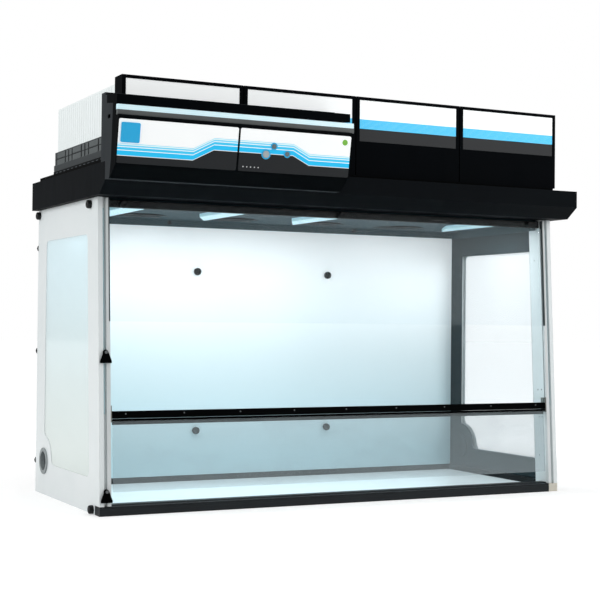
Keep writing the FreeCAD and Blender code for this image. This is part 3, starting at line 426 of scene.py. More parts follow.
@dataclass(frozen=True)
class Pane:
    """Clear acrylic sheet: faint haze and dust, a painted reflection that grows towards a grazing
    view, and lit cut edges.

    The cover is the share of the sheet's own colour over what lies behind it, and
    streak is how much it varies. The haze may change towards the foot of the sheet.
    """

    name: str
    haze: str
    cover: float
    edge: str = "7fdcf0"
    half_width: float = 9.0
    slant_reflection: float = 0.25
    streak: float = 0.12
    dusty: float = 0.004
    haze_foot: str = ""
    rim: float = 0.0016
    glow: float = 0.0
    clear: Colour = (0.985, 0.995, 1.0, 1.0)

    def make(self) -> bpy.types.Material:
        """Mix the sheet with what is behind it; a Fresnel share paints the reflection, and the cut
        edges are full colour.

        Returns:
            The material.
        """
        recipe = Recipe(self.name)
        across, _, up = recipe.axes()
        dust = recipe.noise(420.0, 4.0).climb(0.62, 0.8)
        wiped = recipe.noise(3.0, 3.0, (1.0, 1.0, 2.2)).climb(0.35, 0.75)
        edge = across.size().climb(self.half_width - self.rim * 1.5, self.half_width - self.rim)
        # painted reflection: a Fresnel share of the pale sheet colour stands in for the reflection
        # of the bright room
        fresnel = recipe.add("ShaderNodeFresnel", inputs={"IOR": ACRYLIC_BEND})
        turned = Value(recipe, fresnel.outputs[0])
        cover = self.cover * (1 - self.streak + wiped * self.streak * 2)
        cover = cover + dust * self.dusty + turned * self.slant_reflection
        cover = cover.most(edge * 0.85).least(1.0)
        body = recipe.blend(up.climb(0.10, 0.92), tint(self.haze_foot or self.haze),
                            tint(self.haze))
        colour = recipe.blend(edge, body, tint(self.edge))
        # painted light: the glow lets the sheet shine with its own colour, though it is no lamp
        solid = recipe.shade(
            Base_Color=colour, Roughness=0.05 + dust * 0.2 + wiped * 0.03, IOR=ACRYLIC_BEND,
            Emission_Color=body, Emission_Strength=self.glow,
            Normal=recipe.relief(dust, 0.00001, 0.2))
        clear = recipe.add("ShaderNodeBsdfTransparent", inputs={0: self.clear})
        mixed = recipe.add("ShaderNodeMixShader", inputs={
            0: cover, 1: clear.outputs[0], 2: solid.outputs[0]})
        return recipe.close(mixed.outputs[0])


@dataclass(frozen=True)
class Glow:
    """Lit diffuser: prismatic ridges and a faint cloud over an even light."""

    name: str
    colour: str
    strength: float
    ridges: float = 260.0
    base: str = "dff6fb"

    def make(self) -> bpy.types.Material:
        """Light the ridges and dim the hollows between them.

        Returns:
            The material.
        """
        recipe = Recipe(self.name)
        across = recipe.axes()[0]
        ridge = (across * self.ridges).part() * 2 - 1
        ridge = 1 - ridge.size()
        cloud = recipe.noise(22.0, 2.0)
        lit = recipe.blend(ridge * 0.10 + cloud * 0.10 + 0.8, tint("8fd8e8"), tint(self.colour))
        shader = recipe.shade(
            Base_Color=recipe.blend(ridge * 0.4 + 0.6, tint("bfe4ee"), tint(self.base)),
            Roughness=0.28 + cloud * 0.12, Emission_Color=lit, Emission_Strength=self.strength,
            Normal=recipe.relief(ridge, 0.0001, 0.3))
        return recipe.close(shader.outputs[0])


@dataclass(frozen=True)
class StripedPanel:
    """Printed window panel of a filter column: white over cyan lines over dark grey."""

    name: str
    dark_top: float = 1.300
    cyan_top: float = 1.333
    lines: float = 240.0
    drift: float = 0.02
    glow: float = 0.23

    def make(self) -> bpy.types.Material:
        """Lay the stripes by height, give the print a soft gloss and paint light into it with a
        glow.

        The cyan field holds fine pale lines that drift a little downwards.

        Returns:
            The material.
        """
        recipe = Recipe(self.name)
        across, _, up = recipe.axes()
        grain = recipe.noise(500.0, 2.0)
        cloud = recipe.noise(7.0, 2.0)
        white = recipe.blend(cloud * 0.5, tint(PRINT_WHITE), tint("eef3f4"))
        dark = recipe.blend(grain * 0.3, tint(PRINT_DARK), tint(PRINT_DARK_WORN))
        fine = (((up + self.drift * across) * self.lines).part() - 0.5).size().climb(0.36, 0.44)
        cyan = recipe.blend(fine * 0.8, tint(CYAN), tint("b8e8f8"))
        colour = recipe.blend(up.below(self.cyan_top), white, cyan)
        colour = recipe.blend(up.below(self.dark_top), colour, dark)
        # painted light: the print glows with its own colour, though the panel is no lamp
        shader = recipe.shade(
            Base_Color=colour, Roughness=0.32 + grain * 0.08, Specular_IOR_Level=0.12,
            Emission_Color=colour, Emission_Strength=self.glow,
            Normal=recipe.relief(grain, 0.00002, 0.4, 0.0006))
        return recipe.close(shader.outputs[0])


@dataclass(frozen=True)
class StepStripe:
    """One stripe that keeps a fixed height above the stepped lane."""

    low: float
    high: float
    colour: str


@dataclass(frozen=True)
class LanePrint:
    """Printed front of the control unit: dark foot, stepped lane of stripes, white top."""

    name: str
    foot: float = 1.131
    rise: float = 0.036
    rise_from: float = -0.668
    rise_to: float = -0.598
    fall: float = 0.028
    fall_from: float = -0.318
    fall_to: float = -0.258
    stripes: tuple[StepStripe, ...] = (
        StepStripe(0.0016, 0.0160, CYAN), StepStripe(0.0182, 0.0262, "3fc6f2"),
        StepStripe(0.0284, 0.0334, "7ad7f5"), StepStripe(0.0356, 0.0382, PALE_CYAN))
    lamp_row: float = 1.1225
    lamp_first: float = -0.500
    lamp_step: float = 0.0135
    lamp_count: int = 5
    lamp_half: float = 0.0016
    lamp_edge: float = 0.0003
    glow: float = 0.17

    def make(self) -> bpy.types.Material:
        """Climb and fall with straight ramps, then stack stripes above that line.

        Returns:
            The material.
        """
        recipe = Recipe(self.name)
        across, _, up = recipe.axes()
        lane = (self.foot + across.climb(self.rise_from, self.rise_to, Slope.EVEN) * self.rise
                - across.climb(self.fall_from, self.fall_to, Slope.EVEN) * self.fall)
        height = up - lane
        grain = recipe.noise(500.0, 2.0)
        cloud = recipe.noise(9.0, 2.0)
        colour = recipe.blend(cloud * 0.5, tint(PRINT_WHITE), tint("eff4f5"))
        for stripe in self.stripes:
            colour = recipe.blend(height.band(stripe.low, stripe.high), colour, tint(stripe.colour))
        dark = recipe.blend(grain * 0.3, tint(PRINT_DARK), tint(PRINT_DARK_WORN))
        colour = recipe.blend(height.below(0.0), colour, dark)
        row = (across - self.lamp_first) / self.lamp_step
        dot = ((row.part() - 0.5) * self.lamp_step).near(self.lamp_half, self.lamp_edge)
        dot = dot * (up - self.lamp_row).near(self.lamp_half, self.lamp_edge)
        dot = dot * row.band(0.0, float(self.lamp_count), 0.001)
        colour = recipe.blend(dot, colour, tint("d9dcdd"))
        # painted light: the print glows with its own colour, though the plate is no lamp
        shader = recipe.shade(
            Base_Color=colour, Roughness=0.30 + grain * 0.08, Specular_IOR_Level=0.12,
            Emission_Color=colour, Emission_Strength=self.glow,
            Normal=recipe.relief(grain, 0.00003, 0.5, 0.0008))
        return recipe.close(shader.outputs[0])


@dataclass(frozen=True)
class LitWall:
    """White enamelled wall or worktop with painted light: white at the top and a cyan-grey painted
    shade that grows towards the bench.

    Its lit faces, towards the front or the top, carry the painted shade and glow
    with painted light from a given height upwards. Its other faces are plain white.
    """

    name: str
    high: str
    low: str
    top: float
    bottom: float
    rough: float = 0.3
    glow: float = 0.0
    glow_from: float = 0.5

    def make(self) -> bpy.types.Material:
        """Paint light by height on the lit faces, white at the top and shaded towards the bench;
        plain white behind.

        Returns:
            The material.
        """
        recipe = Recipe(self.name)
        up = recipe.axes()[2]
        fine = recipe.noise(600.0, 2.0)
        cloud = recipe.noise(3.0, 2.0)
        # painted light and shade: lighter near the ceiling lamps, falling to a cyan-grey shade
        # towards the bench
        fall = up.climb(self.bottom, self.top, Slope.EVEN)
        colour = recipe.blend(fall, tint(self.low), tint(self.high))
        colour = recipe.blend(cloud * 0.06, colour, tint("a8bcc2"))
        # the front and top faces take the painted light and shade; the other faces stay plain white
        turned = recipe.facing()
        inner = (0 - turned[1]).most(turned[2]).climb(0.3, 0.7)
        colour = recipe.blend(inner, tint("dfe5e6"), colour)
        # painted light: the lit faces glow from glow_from upwards, though the wall is no lamp
        lit = recipe.blend(up.climb(self.glow_from, self.top) * inner, grey(0.0),
                           tint(self.high))
        shader = recipe.shade(
            Base_Color=colour, Roughness=self.rough + cloud * 0.1, Specular_IOR_Level=0.4,
            Emission_Color=lit, Emission_Strength=self.glow,
            Normal=recipe.relief(fine, 0.00004, 0.5, 0.0008))
        return recipe.close(shader.outputs[0])


@dataclass(frozen=True)
class FilterCase:
    """White moulded filter case: upright ribs with painted shade in their valleys, a faint seam,
    patches of grey dust and a painted glow.
    """

    name: str
    colour: str = "b2b7b7"
    shade_dust_and_seam: str = "a2a8a9"
    glow: float = 0.42
    ribs: float = 41.67
    seam_height: float = 1.262

    def make(self) -> bpy.types.Material:
        """Paint shade into the valleys between the ribs, rule the seam, add patches of dust and
        paint light over all with a glow.

        Returns:
            The material.
        """
        recipe = Recipe(self.name)
        _, deep, up = recipe.axes()
        rib = ((deep * self.ribs).part() - 0.5).size() * 2
        dust = recipe.noise(9.0, 3.0).climb(0.45, 0.8)
        seam = (up - self.seam_height).near(0.0008)
        # painted shade in the rib valleys, together with the dust and the seam, all towards one
        # darker grey
        mask = rib.climb(0.0, 1.0) * 0.12 + dust * 0.12 + seam * 0.4
        colour = recipe.blend(mask.least(1.0), tint(self.colour), tint(self.shade_dust_and_seam))
        # painted light: the case glows, though it is no lamp, which flattens the painted rib shade
        shader = recipe.shade(
            Base_Color=colour, Roughness=0.5 + dust * 0.15, Specular_IOR_Level=0.1,
            Emission_Color=tint("eef4f4"), Emission_Strength=self.glow,
            Normal=recipe.relief(rib, 0.00005, 0.3))
        return recipe.close(shader.outputs[0])


@dataclass(frozen=True)
class SealStrip:
    """White retainer strip with a slim dark seal on its inner side, beside the visor."""

    name: str
    plain: str = "d3d8d9"
    seal: str = "3c4244"
    seal_low: float = 0.622
    seal_end: float = 0.0006
    seal_reach: float = 0.8648

    def make(self) -> bpy.types.Material:
        """Lay the seal above the visor's lower edge, on the side towards the pane.

        Returns:
            The material.
        """
        recipe = Recipe(self.name)
        across, _, up = recipe.axes()
        fine = recipe.noise(700.0, 2.0)
        cloud = recipe.noise(8.0, 2.0).climb(0.3, 0.7)
        plain = recipe.blend(cloud, tint("cbd0d1"), tint(self.plain))
        seal = recipe.blend(cloud, tint("363c3e"), tint(self.seal))
        mask = up.climb(self.seal_low - self.seal_end, self.seal_low + self.seal_end)
        mask = mask * across.near(self.seal_reach)
        shader = recipe.shade(
            Base_Color=recipe.blend(mask, plain, seal), Roughness=0.5 + cloud * 0.08,
            Specular_IOR_Level=0.1, Normal=recipe.relief(fine, 0.00002, 0.4, 0.0006))
        return recipe.close(shader.outputs[0])


@dataclass(frozen=True)
class PanelledCase:
    """Grey moulded cassette: pale side panels, painted shade in the grooves by the double bars, a
    dark seam and painted highlights on the edges.
    """

    name: str
    panel: str = "5e6364"
    plain: str = "404446"
    groove_shade: str = "17191b"
    first: float = 0.136
    step: float = 0.185
    grooves: tuple = ((0.028, 0.041), (0.067, 0.080), (0.174, 0.1849))
    low: float = 1.188
    high: float = 1.232

    def make(self) -> bpy.types.Material:
        """Repeat the painted groove shade along the side faces, rule the seam half way up and
        lighten the edges.

        Returns:
            The material.
        """
        recipe = Recipe(self.name)
        _, deep, up = recipe.axes()
        fine = recipe.noise(700.0, 2.0)
        cloud = recipe.noise(6.0, 3.0).climb(0.3, 0.7)
        along = ((deep - self.first) / self.step).part() * self.step
        dark = (up - (self.low + self.high) / 2).near(0.0016, 0.0006)
        # painted shade: the grooves by the double bars are darkened where shade falls in them
        for start, end in self.grooves:
            dark = dark.most(along.band(start, end, 0.0008))
        side = recipe.facing()[0].size().climb(0.4, 0.7) * up.band(self.low, self.high)
        body = recipe.blend(cloud, tint("3f4345"), tint(self.plain))
        panel = recipe.blend(cloud, tint("575c5d"), tint(self.panel))
        colour = recipe.blend(side, body, recipe.blend(dark, panel, tint(self.groove_shade)))
        # painted highlight: the rounded edges are lightened
        colour = recipe.blend(recipe.edge_wear_and_highlight(0.0016) * 0.3, colour, tint("8b9091"))
        shader = recipe.shade(
            Base_Color=colour, Roughness=0.55 + cloud * 0.06, Specular_IOR_Level=0.06,
            Normal=recipe.relief(fine, 0.00002, 0.4, 0.0008))
        return recipe.close(shader.outputs[0])


class Finishes:
    """Every finish of the hood, made once and kept by name."""

    def __init__(self) -> None:
        """Start with no material made."""
        self._made: dict[str, bpy.types.Material] = {}

    def get(self, finish: Finish) -> bpy.types.Material:
        """Look a finish up and make its material on first use.

        Args:
            finish: the finish.

        Returns:
            Its material.
        """
        if finish.name not in self._made:
            self._made[finish.name] = finish.make()
        return self._made[finish.name]


# Each coat gives its name, colour, shadow, rubbed edge (partly a painted highlight), roughness,
# gloss and skin.
BLACK_SHEET = Coat("black_sheet", "1c2124", "191d20", "3c4347", 0.42, 0.16, 800.0)
CANOPY_SHEET = Coat("canopy_sheet", "0b0f12", "090c0f", "262c30", 0.55, 0.02, 800.0)
DEEP_BLACK = Coat("deep_black", "05070a", "040608", "161b1e", 0.50, 0.01, 900.0)
CHIN_BLACK = Coat("chin_black", "06090b", "050709", "1a2023", 0.50, 0.01, 900.0)
SATIN_BLACK = Coat("satin_black", "030405", "020303", "15181a", 0.50, 0.01, 900.0)
BASE_BLACK = Coat("base_black", "0d1113", "0b0e10", "262c2f", 0.55, 0.03, 900.0)
KNOB_BLACK = Coat("knob_black", "121517", "0c0f10", "343a3d", 0.46, 0.18, 1200.0, soften=0.0005)
RAIL_SHEET = Coat("rail_sheet", "0a0e10", "080b0d", "242d32", 0.45, 0.03, 800.0)
# painted shade: the ceiling frame and sheet take the teal-grey of the shade under the canopy
SKIRT_SHEET = Coat("skirt_sheet", "334a51", "2f454c", "5f777e", 0.60, 0.05, 800.0)
SHELL_GREY = Coat("shell_grey", "2b2f32", "272b2e", "51575a", 0.55, 0.05, 900.0)
STRIP_GREY = Coat("strip_grey", "5a5e5e", "545858", "8a8e8e", 0.50, 0.25, 900.0)
PANEL_WHITE = Coat("panel_white", "dfe5e6", "dae1e2", "f4f7f7", 0.34, 0.35, 700.0)
LINER_DARK = Coat("liner_dark", "2b373b", "273236", "4a585c", 0.60, 0.05, 700.0)
TRAY_DARK = Coat("tray_dark", "15191b", "121618", "353c3f", 0.48, 0.15, 700.0)
PORT_GREY = Coat("port_grey", "8f9697", "858c8d", "b4b9ba", 0.50, 0.30, 900.0)
END_GREY = Coat("end_grey", "cfcbbf", "c6c2b6", "e4e1d8", 0.50, 0.30, 900.0)
CASSETTE_GREY = PanelledCase("cassette_grey")
LOUVRE_GREY = Coat("louvre_grey", "4c5256", "474d51", "6c7276", 0.50, 0.12, 900.0, soften=0.0005)
BADGE_CYAN = Coat("badge_cyan", "1fb0e8", "1caadf", "8fdcf6", 0.28, 0.25, 900.0, varnish=0.2)
BUTTON_WHITE = Coat("button_white", "a9b2b5", "a1aaad", "d5dbdd", 0.36, 0.30, 900.0, soften=0.0005)
BUTTON_GREY = Coat("button_grey", "6d7679", "666f72", "a6adaf", 0.40, 0.20, 900.0, soften=0.0005)
LAMP_GREEN = Coat("lamp_green", "7dc142", "74b93a", "b4e184", 0.22, 0.40, 900.0, soften=0.0005)
GROMMET_GREY = Coat("grommet_grey", "2c3539", "283135", "4a5559", 0.60, 0.12, 900.0)
BOARD_GREEN = Coat("board_green", "1d5a34", "174a2b", "3f8a5a", 0.45, 0.4, 500.0)
SCREW_STEEL = Rolled("screw_steel", "6d7072", "55585a")
BRACKET_STEEL = Rolled("bracket_steel", "84857f", "6a6b66", 0.42, (1.0, 1.0, 0.05))
BACK_WHITE = LitWall("back_white", high="ffffff", low="bfdce4", top=0.95, bottom=0.10,
                     glow=0.22, glow_from=0.45)
WORKTOP_WHITE = LitWall("worktop_white", high="eefbff", low="e6f8fd", top=0.02, bottom=0.0,
                        rough=0.16, glow=0.22, glow_from=-0.02)
RETAINER = SealStrip("retainer")
SASH_CLEAR = Pane("sash_clear", "e8f3f5", 0.004, edge="bfe3ea", half_width=0.880, slant_reflection=0.14)
VISOR_CLEAR = Pane("visor_clear", "eef6f8", 0.022, slant_reflection=0.12)
FLAP_HAZE = Pane("flap_haze", "aab6ba", 0.22)
# the left side pane's pale cover, its bluer top and its glow paint the light of the lit chamber
# behind it
SIDE_CLEAR = Pane("side_clear", "e2f4f9", 0.72, streak=0.02, haze_foot="dde6e3", glow=0.07)
SIDE_LIT = Pane("side_lit", "ffffff", 0.10, slant_reflection=0.10, streak=0.02)
LAMP_PANEL = Glow("lamp_panel", "a8deeb", 0.28)
LIT_STRIP = Glow("lit_strip", "d6f2f8", 0.25, ridges=12.0, base="cfe9f0")
STRIPED = StripedPanel("striped_panel")
LANES = LanePrint("lane_print")
FILTER_WHITE = FilterCase("filter_white")


@dataclass
class Seat:
    """Place and outward direction of a small fitting."""

    spot: Triple
    outward: Triple

    def carry(self, local: np.ndarray) -> np.ndarray:
        """Take points whose third axis points outward to this seat.

        Args:
            local: points of any shape whose last axis is across, up, out.

        Returns:
            Points in the frame of the hood.
        """
        out = np.array(self.outward, float)
        out = out / np.linalg.norm(out)
        rough = np.array((0.0, 0.0, 1.0)) if abs(out[2]) < 0.9 else np.array((1.0, 0.0, 0.0))
        across = np.cross(rough, out)
        across = across / np.linalg.norm(across)
        up = np.cross(out, across)
        basis = np.stack([across, up, out])
        return local @ basis + np.array(self.spot, float)


def turned_solid(name: str, grids: list[np.ndarray]) -> bpy.types.Object:
    """Make one closed piece from grids that wrap round on their second axis.

    Each grid is rows by columns of points; its first and last rows are poles, and
    the doubled points there are merged before the normals are turned outward.

    Args:
        name: name of the piece.
        grids: one grid for each copy.

    Returns:
        The new object.
    """
    rows, columns = grids[0].shape[:2]
    index = np.arange(rows * columns).reshape(rows, columns)
    beside = np.roll(index, -1, axis=1)
    quads = np.stack([index[:-1], beside[:-1], beside[1:], index[1:]], axis=-1).reshape(-1, 4)
    offsets = np.arange(len(grids))[:, None, None] * rows * columns
    faces = (quads[None] + offsets).reshape(-1, 4)
    points = np.stack(grids).reshape(-1, 3)
    mesh = bpy.data.meshes.new(name)
    mesh.from_pydata(points, [], faces.tolist())
    work = bmesh.new()
    work.from_mesh(mesh)
    bmesh.ops.remove_doubles(work, verts=work.verts, dist=1e-6)
    bmesh.ops.dissolve_degenerate(work, edges=work.edges, dist=1e-7)
    bmesh.ops.recalc_face_normals(work, faces=work.faces)
    work.to_mesh(mesh)
    work.free()
    mesh.polygons.foreach_set("use_smooth", np.full(len(mesh.polygons), True))
    piece = bpy.data.objects.new(name, mesh)
    bpy.context.scene.collection.objects.link(piece)
    return piece


def box_solids(name: str, lows: np.ndarray, highs: np.ndarray) -> bpy.types.Object:
    """Make one piece of separate closed boxes.

    Each corner takes the low or the high value of its box on each axis.

    Args:
        name: name of the piece.
        lows: lowest corner of each box, one row a box.
        highs: highest corner of each box.

    Returns:
        The new object.
    """
    pick = np.array([(0, 0, 0), (1, 0, 0), (1, 1, 0), (0, 1, 0),
                     (0, 0, 1), (1, 0, 1), (1, 1, 1), (0, 1, 1)])
    sides = np.array([(0, 3, 2, 1), (4, 5, 6, 7), (0, 1, 5, 4),
                      (1, 2, 6, 5), (2, 3, 7, 6), (3, 0, 4, 7)])
    points = lows[:, None] + pick[None] * (highs - lows)[:, None]
    faces = sides[None] + np.arange(len(lows))[:, None, None] * 8
    mesh = bpy.data.meshes.new(name)
    mesh.from_pydata(points.reshape(-1, 3), [], faces.reshape(-1, 4).tolist())
    piece = bpy.data.objects.new(name, mesh)
    bpy.context.scene.collection.objects.link(piece)
    return piece


@dataclass
class Fitting:
    """Small fitting that is turned about its axis and set at one or more seats."""

    radius: float
    tall: float
    columns: int

    def turns(self) -> np.ndarray:
        """Return the angle of each column, evenly round the axis."""
        return np.linspace(0.0, 2 * np.pi, self.columns, endpoint=False)

    def sweep(self, ring: np.ndarray, height: np.ndarray) -> np.ndarray:
        """Carry a profile round the axis, by the cosine and sine of each column's angle.

        Args:
            ring: radius at each row and column.
            height: share of the full height at each row.

        Returns:
            Points by row and column.
        """
        turn = self.turns()
        return np.stack([ring * np.cos(turn), ring * np.sin(turn),
                         np.broadcast_to(height[:, None] * self.tall, ring.shape)], axis=-1)

    def grid(self) -> np.ndarray:
        """Return the points of one fitting, which each kind works out for itself."""
        raise NotImplementedError

    def build(self, name: str, seats: list[Seat]) -> bpy.types.Object:
        """Return one piece that holds a fitting at every seat."""
        local = self.grid()
        return turned_solid(name, [seat.carry(local) for seat in seats])


@dataclass
class ThumbKnob(Fitting):
    """Scalloped thumb knob with a domed top and a dished centre."""

    radius: float = 0.014
    tall: float = 0.015
    lobes: int = 8
    depth: float = 0.055
    columns: int = 64

    def grid(self) -> np.ndarray:
        """Turn a profile about the axis; its radius swells and shrinks with the lobes.

        Returns:
            Points by row and column.
        """
        share = np.array([0.0, 0.90, 0.97, 1.0, 1.0, 0.97, 0.90, 0.76, 0.55, 0.42, 0.36, 0.0])
        height = np.array([0.0, 0.0, 0.03, 0.10, 0.62, 0.80, 0.91, 0.98, 1.0, 0.97, 0.90, 0.89])
        grip = np.array([0.0, 1.0, 1.0, 1.0, 1.0, 0.9, 0.6, 0.3, 0.0, 0.0, 0.0, 0.0])
        swell = 1.0 - self.depth * (0.5 - 0.5 * np.cos(self.lobes * self.turns()))
        ring = share[:, None] * (1.0 + grip[:, None] * (swell[None] - 1.0)) * self.radius
        return self.sweep(ring, height)


@dataclass
class SocketScrew(Fitting):
    """Low domed screw with a six-sided socket."""

    radius: float = 0.0025
    tall: float = 0.0006
    columns: int = 24

    def grid(self) -> np.ndarray:
        """Turn a dome about the axis; the socket rings follow a hexagon's radius.

        Returns:
            Points by row and column.
        """
        share = np.array([0.0, 1.0, 1.0, 0.90, 0.62, 0.50, 0.46, 0.0])
        height = np.array([0.0, 0.0, 0.35, 0.78, 1.0, 1.0, 0.35, 0.35])
        socket = np.array([0.0, 0.0, 0.0, 0.0, 0.0, 1.0, 1.0, 0.0])
        side = np.cos(np.pi / 6) / np.cos(np.mod(self.turns(), np.pi / 3) - np.pi / 6)
        ring = share[:, None] * (1.0 + socket[:, None] * (side[None] - 1.0)) * self.radius
        return self.sweep(ring, height)


def front_point(across: float, behind: float, along: float) -> Triple:
    """Place a point by the leaning plane of the front.

    Args:
        across: distance to the right of the middle.
        behind: distance behind the plane.
        along: distance up the plane.

    Returns:
        The point in the frame of the hood.
    """
    return (across,
            FRONT_Y + behind * math.cos(FRONT_LEAN) + along * math.sin(FRONT_LEAN),
            along * math.cos(FRONT_LEAN) - behind * math.sin(FRONT_LEAN))


@dataclass
class Assembly:
    """Base of the sub-assemblies: puts finishes on the pieces."""

    finishes: Finishes

    def dress(self, finishes: dict[str, Finish]) -> None:
        """Give every slot of the named solids' meshes a finish.

        Args:
            finishes: the finish of each solid, by its name.
        """
        for node, finish in finishes.items():
            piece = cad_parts[node]
            material = self.finishes.get(finish)
            if not piece.material_slots:
                piece.data.materials.append(material)
            for slot in piece.material_slots:
                slot.material = material
            LOG.info("dressed %s with %s", node, finish.name)

    def fit(self, piece: bpy.types.Object, finish: Finish, body: str, slot: str,
            *nodes: str) -> None:
        """Give a new piece its finish and tell the frame where it belongs.

        Args:
            piece: the new piece.
            finish: its finish.
            body: body that it rides on.
            slot: its slot; not used.
            nodes: solids that it stands for, if any.
        """
        piece.data.materials.append(self.finishes.get(finish))
        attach(piece, body)
        if nodes:
            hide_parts(*nodes)
        LOG.info("made %s with %d faces", piece.name, len(piece.data.polygons))


@dataclass
class Enclosure(Assembly):
    """Side panels, liners, windows, ports, back wall, tray and worktop."""

    half_width: float = 0.900
    half_depth: float = 0.366
    wall_face: float = 0.340
    side_spots: tuple = ((0.347, 1.004), (-0.238, 1.004), (-0.296, 0.0155))
    rear_heights: tuple = (0.887, 0.512, 0.113)
    rear_across: float = 0.889
    wall_spots: tuple = ((-0.283, 0.817), (0.283, 0.817), (-0.283, 0.207), (0.283, 0.207))

    def build(self) -> None:
        """Dress the shell and set its thumb knobs."""
        self.dress({
            "side_panel_left": PANEL_WHITE, "side_liner_left": LINER_DARK,
            "side_panel_right": PANEL_WHITE, "side_liner_right": LINER_DARK,
            "side_window_left": SIDE_CLEAR, "side_window_right": SIDE_LIT,
            "port_rings": PORT_GREY, "port_grommets": GROMMET_GREY,
            "back_panel": BACK_WHITE, "base_tray": TRAY_DARK, "worktop": WORKTOP_WHITE,
            "front_sill": BLACK_SHEET, "sill_end_block": END_GREY})
        self.set_knobs()

    def set_knobs(self) -> None:
        """Set the knobs of the side panels, the rear returns and the back wall."""
        sides = [Seat((sign * self.half_width, deep, up), (sign, 0.0, 0.0))
                 for sign in (1.0, -1.0) for deep, up in self.side_spots]
        self.fit(ThumbKnob().build("side_knob_heads", sides), KNOB_BLACK, "hood",
                 "black_plastic", "side_knobs")
        rear = [Seat((sign * self.rear_across, self.half_depth, up), (0.0, 1.0, 0.0))
                for sign in (1.0, -1.0) for up in self.rear_heights]
        self.fit(ThumbKnob().build("rear_knob_heads", rear), KNOB_BLACK, "hood",
                 "black_plastic", "rear_knobs")
        wall = [Seat((across, self.wall_face, up), (0.0, -1.0, 0.0))
                for across, up in self.wall_spots]
        self.fit(ThumbKnob().build("wall_knob_heads", wall), SATIN_BLACK, "hood",
                 "black_plastic", "wall_knobs")


@dataclass
class GlazedFront(Assembly):
    """Rail, visor, front pane, bar, flap and turn catches."""

    visor_set: float = 0.013
    rail_knobs: tuple = (-0.809, 0.0, 0.809)
    rail_knob_height: float = 1.007
    screw_pitch: float = 0.2025
    screw_height: float = 0.3248
    post_inner: float = 0.860
    post_screws: tuple = ((0.028, 0.382), (0.050, 0.382), (0.029, 0.279), (0.046, 0.279),
                          (0.050, 0.875), (0.052, 0.135))

    def build(self) -> None:
        """Dress the front and set its knobs and screws."""
        self.dress({
            "visor_rail": RAIL_SHEET, "visor_pane": VISOR_CLEAR, "pane_retainers": RETAINER,
            "sash_pane": SASH_CLEAR, "sash_bar": SATIN_BLACK, "bar_brackets": BRACKET_STEEL,
            "flap_rod": SATIN_BLACK, "flap_pane": FLAP_HAZE,
            "catch_upper": SATIN_BLACK, "catch_lower": SATIN_BLACK, "catch_studs": SCREW_STEEL})
        knobs = [Seat(front_point(across, self.visor_set, self.rail_knob_height), FRONT_OUT)
                 for across in self.rail_knobs]
        self.fit(ThumbKnob().build("visor_knob_heads", knobs), KNOB_BLACK, "hood",
                 "black_plastic", "visor_knobs")
        screws = [Seat(front_point(self.screw_pitch * place, 0.0, self.screw_height), FRONT_OUT)
                  for place in range(-4, 5)]
        self.fit(SocketScrew().build("bar_screw_heads", screws), SCREW_STEEL, "hood",
                 "screw_steel", "front_screws")
        side = [Seat(front_point(hand * self.post_inner, deep, up), (-hand, 0.0, 0.0))
                for hand in (-1.0, 1.0) for deep, up in self.post_screws]
        self.fit(SocketScrew().build("post_screw_heads", side), KNOB_BLACK, "hood",
                 "screw_steel")


class Canopy(Assembly):
    """Canopy, ceiling, lit panels, deck and fans."""

    def build(self) -> None:
        """Dress the canopy and what hangs in it."""
        self.dress({
            "canopy": CANOPY_SHEET, "ceiling_frame": SKIRT_SHEET, "ceiling_sheet": SKIRT_SHEET,
            "skirt_knobs": KNOB_BLACK, "light_panels": LAMP_PANEL, "filter_deck": SATIN_BLACK,
            "fan_motors": SCREW_STEEL, "fan_guards": SCREW_STEEL})
        self.dress({"fan_impeller_%d" % place: SATIN_BLACK for place in range(1, 5)})


@dataclass
class FilterColumns(Assembly):
    """Bases, cassettes, filters and fascia covers of the four columns."""

    louvre_first: float = 0.292
    louvre_step: float = 0.046
    louvre_count: int = 12
    louvre_sides: tuple = (-0.8532, 0.8502)
    louvre_inset: float = 0.0004
    louvre_foot: float = 1.1563
    louvre_size: tuple = (0.003, 0.0252, 0.0054)

    def set_louvres(self) -> None:
        """Close the slots of the outer base walls with grey inserts."""
        row = self.louvre_first - self.louvre_step * np.arange(self.louvre_count)
        lows = np.array([(across, deep + self.louvre_inset, self.louvre_foot)
                         for across in self.louvre_sides for deep in row])
        highs = lows + np.array(self.louvre_size)
        self.fit(box_solids("base_louvres", lows, highs), LOUVRE_GREY, "hood", "black_steel")

    def build(self) -> None:
        """Dress the columns and close the slots of their bases."""
        self.set_louvres()
        self.dress({
            "column_bases": BASE_BLACK, "filter_cassettes": CASSETTE_GREY,
            "carbon_filters": FILTER_WHITE, "fascia_frames": DEEP_BLACK,
            "fascia_panels": STRIPED})


class ControlUnit(Assembly):
    """Shell, sloping front, bar, strips, plates, buttons and lamp."""

    def build(self) -> None:
        """Dress the control unit."""
        self.dress({
            "control_shell": SHELL_GREY, "control_front": CHIN_BLACK,
            "control_top_bar": DEEP_BLACK, "light_strip": LIT_STRIP, "strip_base": STRIP_GREY,
            "control_plate_left": LANES, "control_plate_right": LANES,
            "badge_plate": BADGE_CYAN, "button_bezels": BADGE_CYAN,
            "power_button": BUTTON_WHITE, "select_button": BUTTON_GREY,
            "mute_button": BUTTON_GREY, "status_lamp": LAMP_GREEN,
            "control_board": BOARD_GREEN})


def stand(spot: Triple, side: np.ndarray, up: np.ndarray, ahead: np.ndarray) -> Matrix:
    """Give the placing of a lamp or a camera, which both look along their own -Z.

    Args:
        spot: where it stands.
        side: its own X direction.
        up: its own Y direction.
        ahead: where it looks.

    Returns:
        The placing as a matrix.
    """
    matrix = np.eye(4)
    matrix[:3] = np.stack([side, up, -ahead, np.array(spot)], axis=1)
    return Matrix(matrix.tolist())


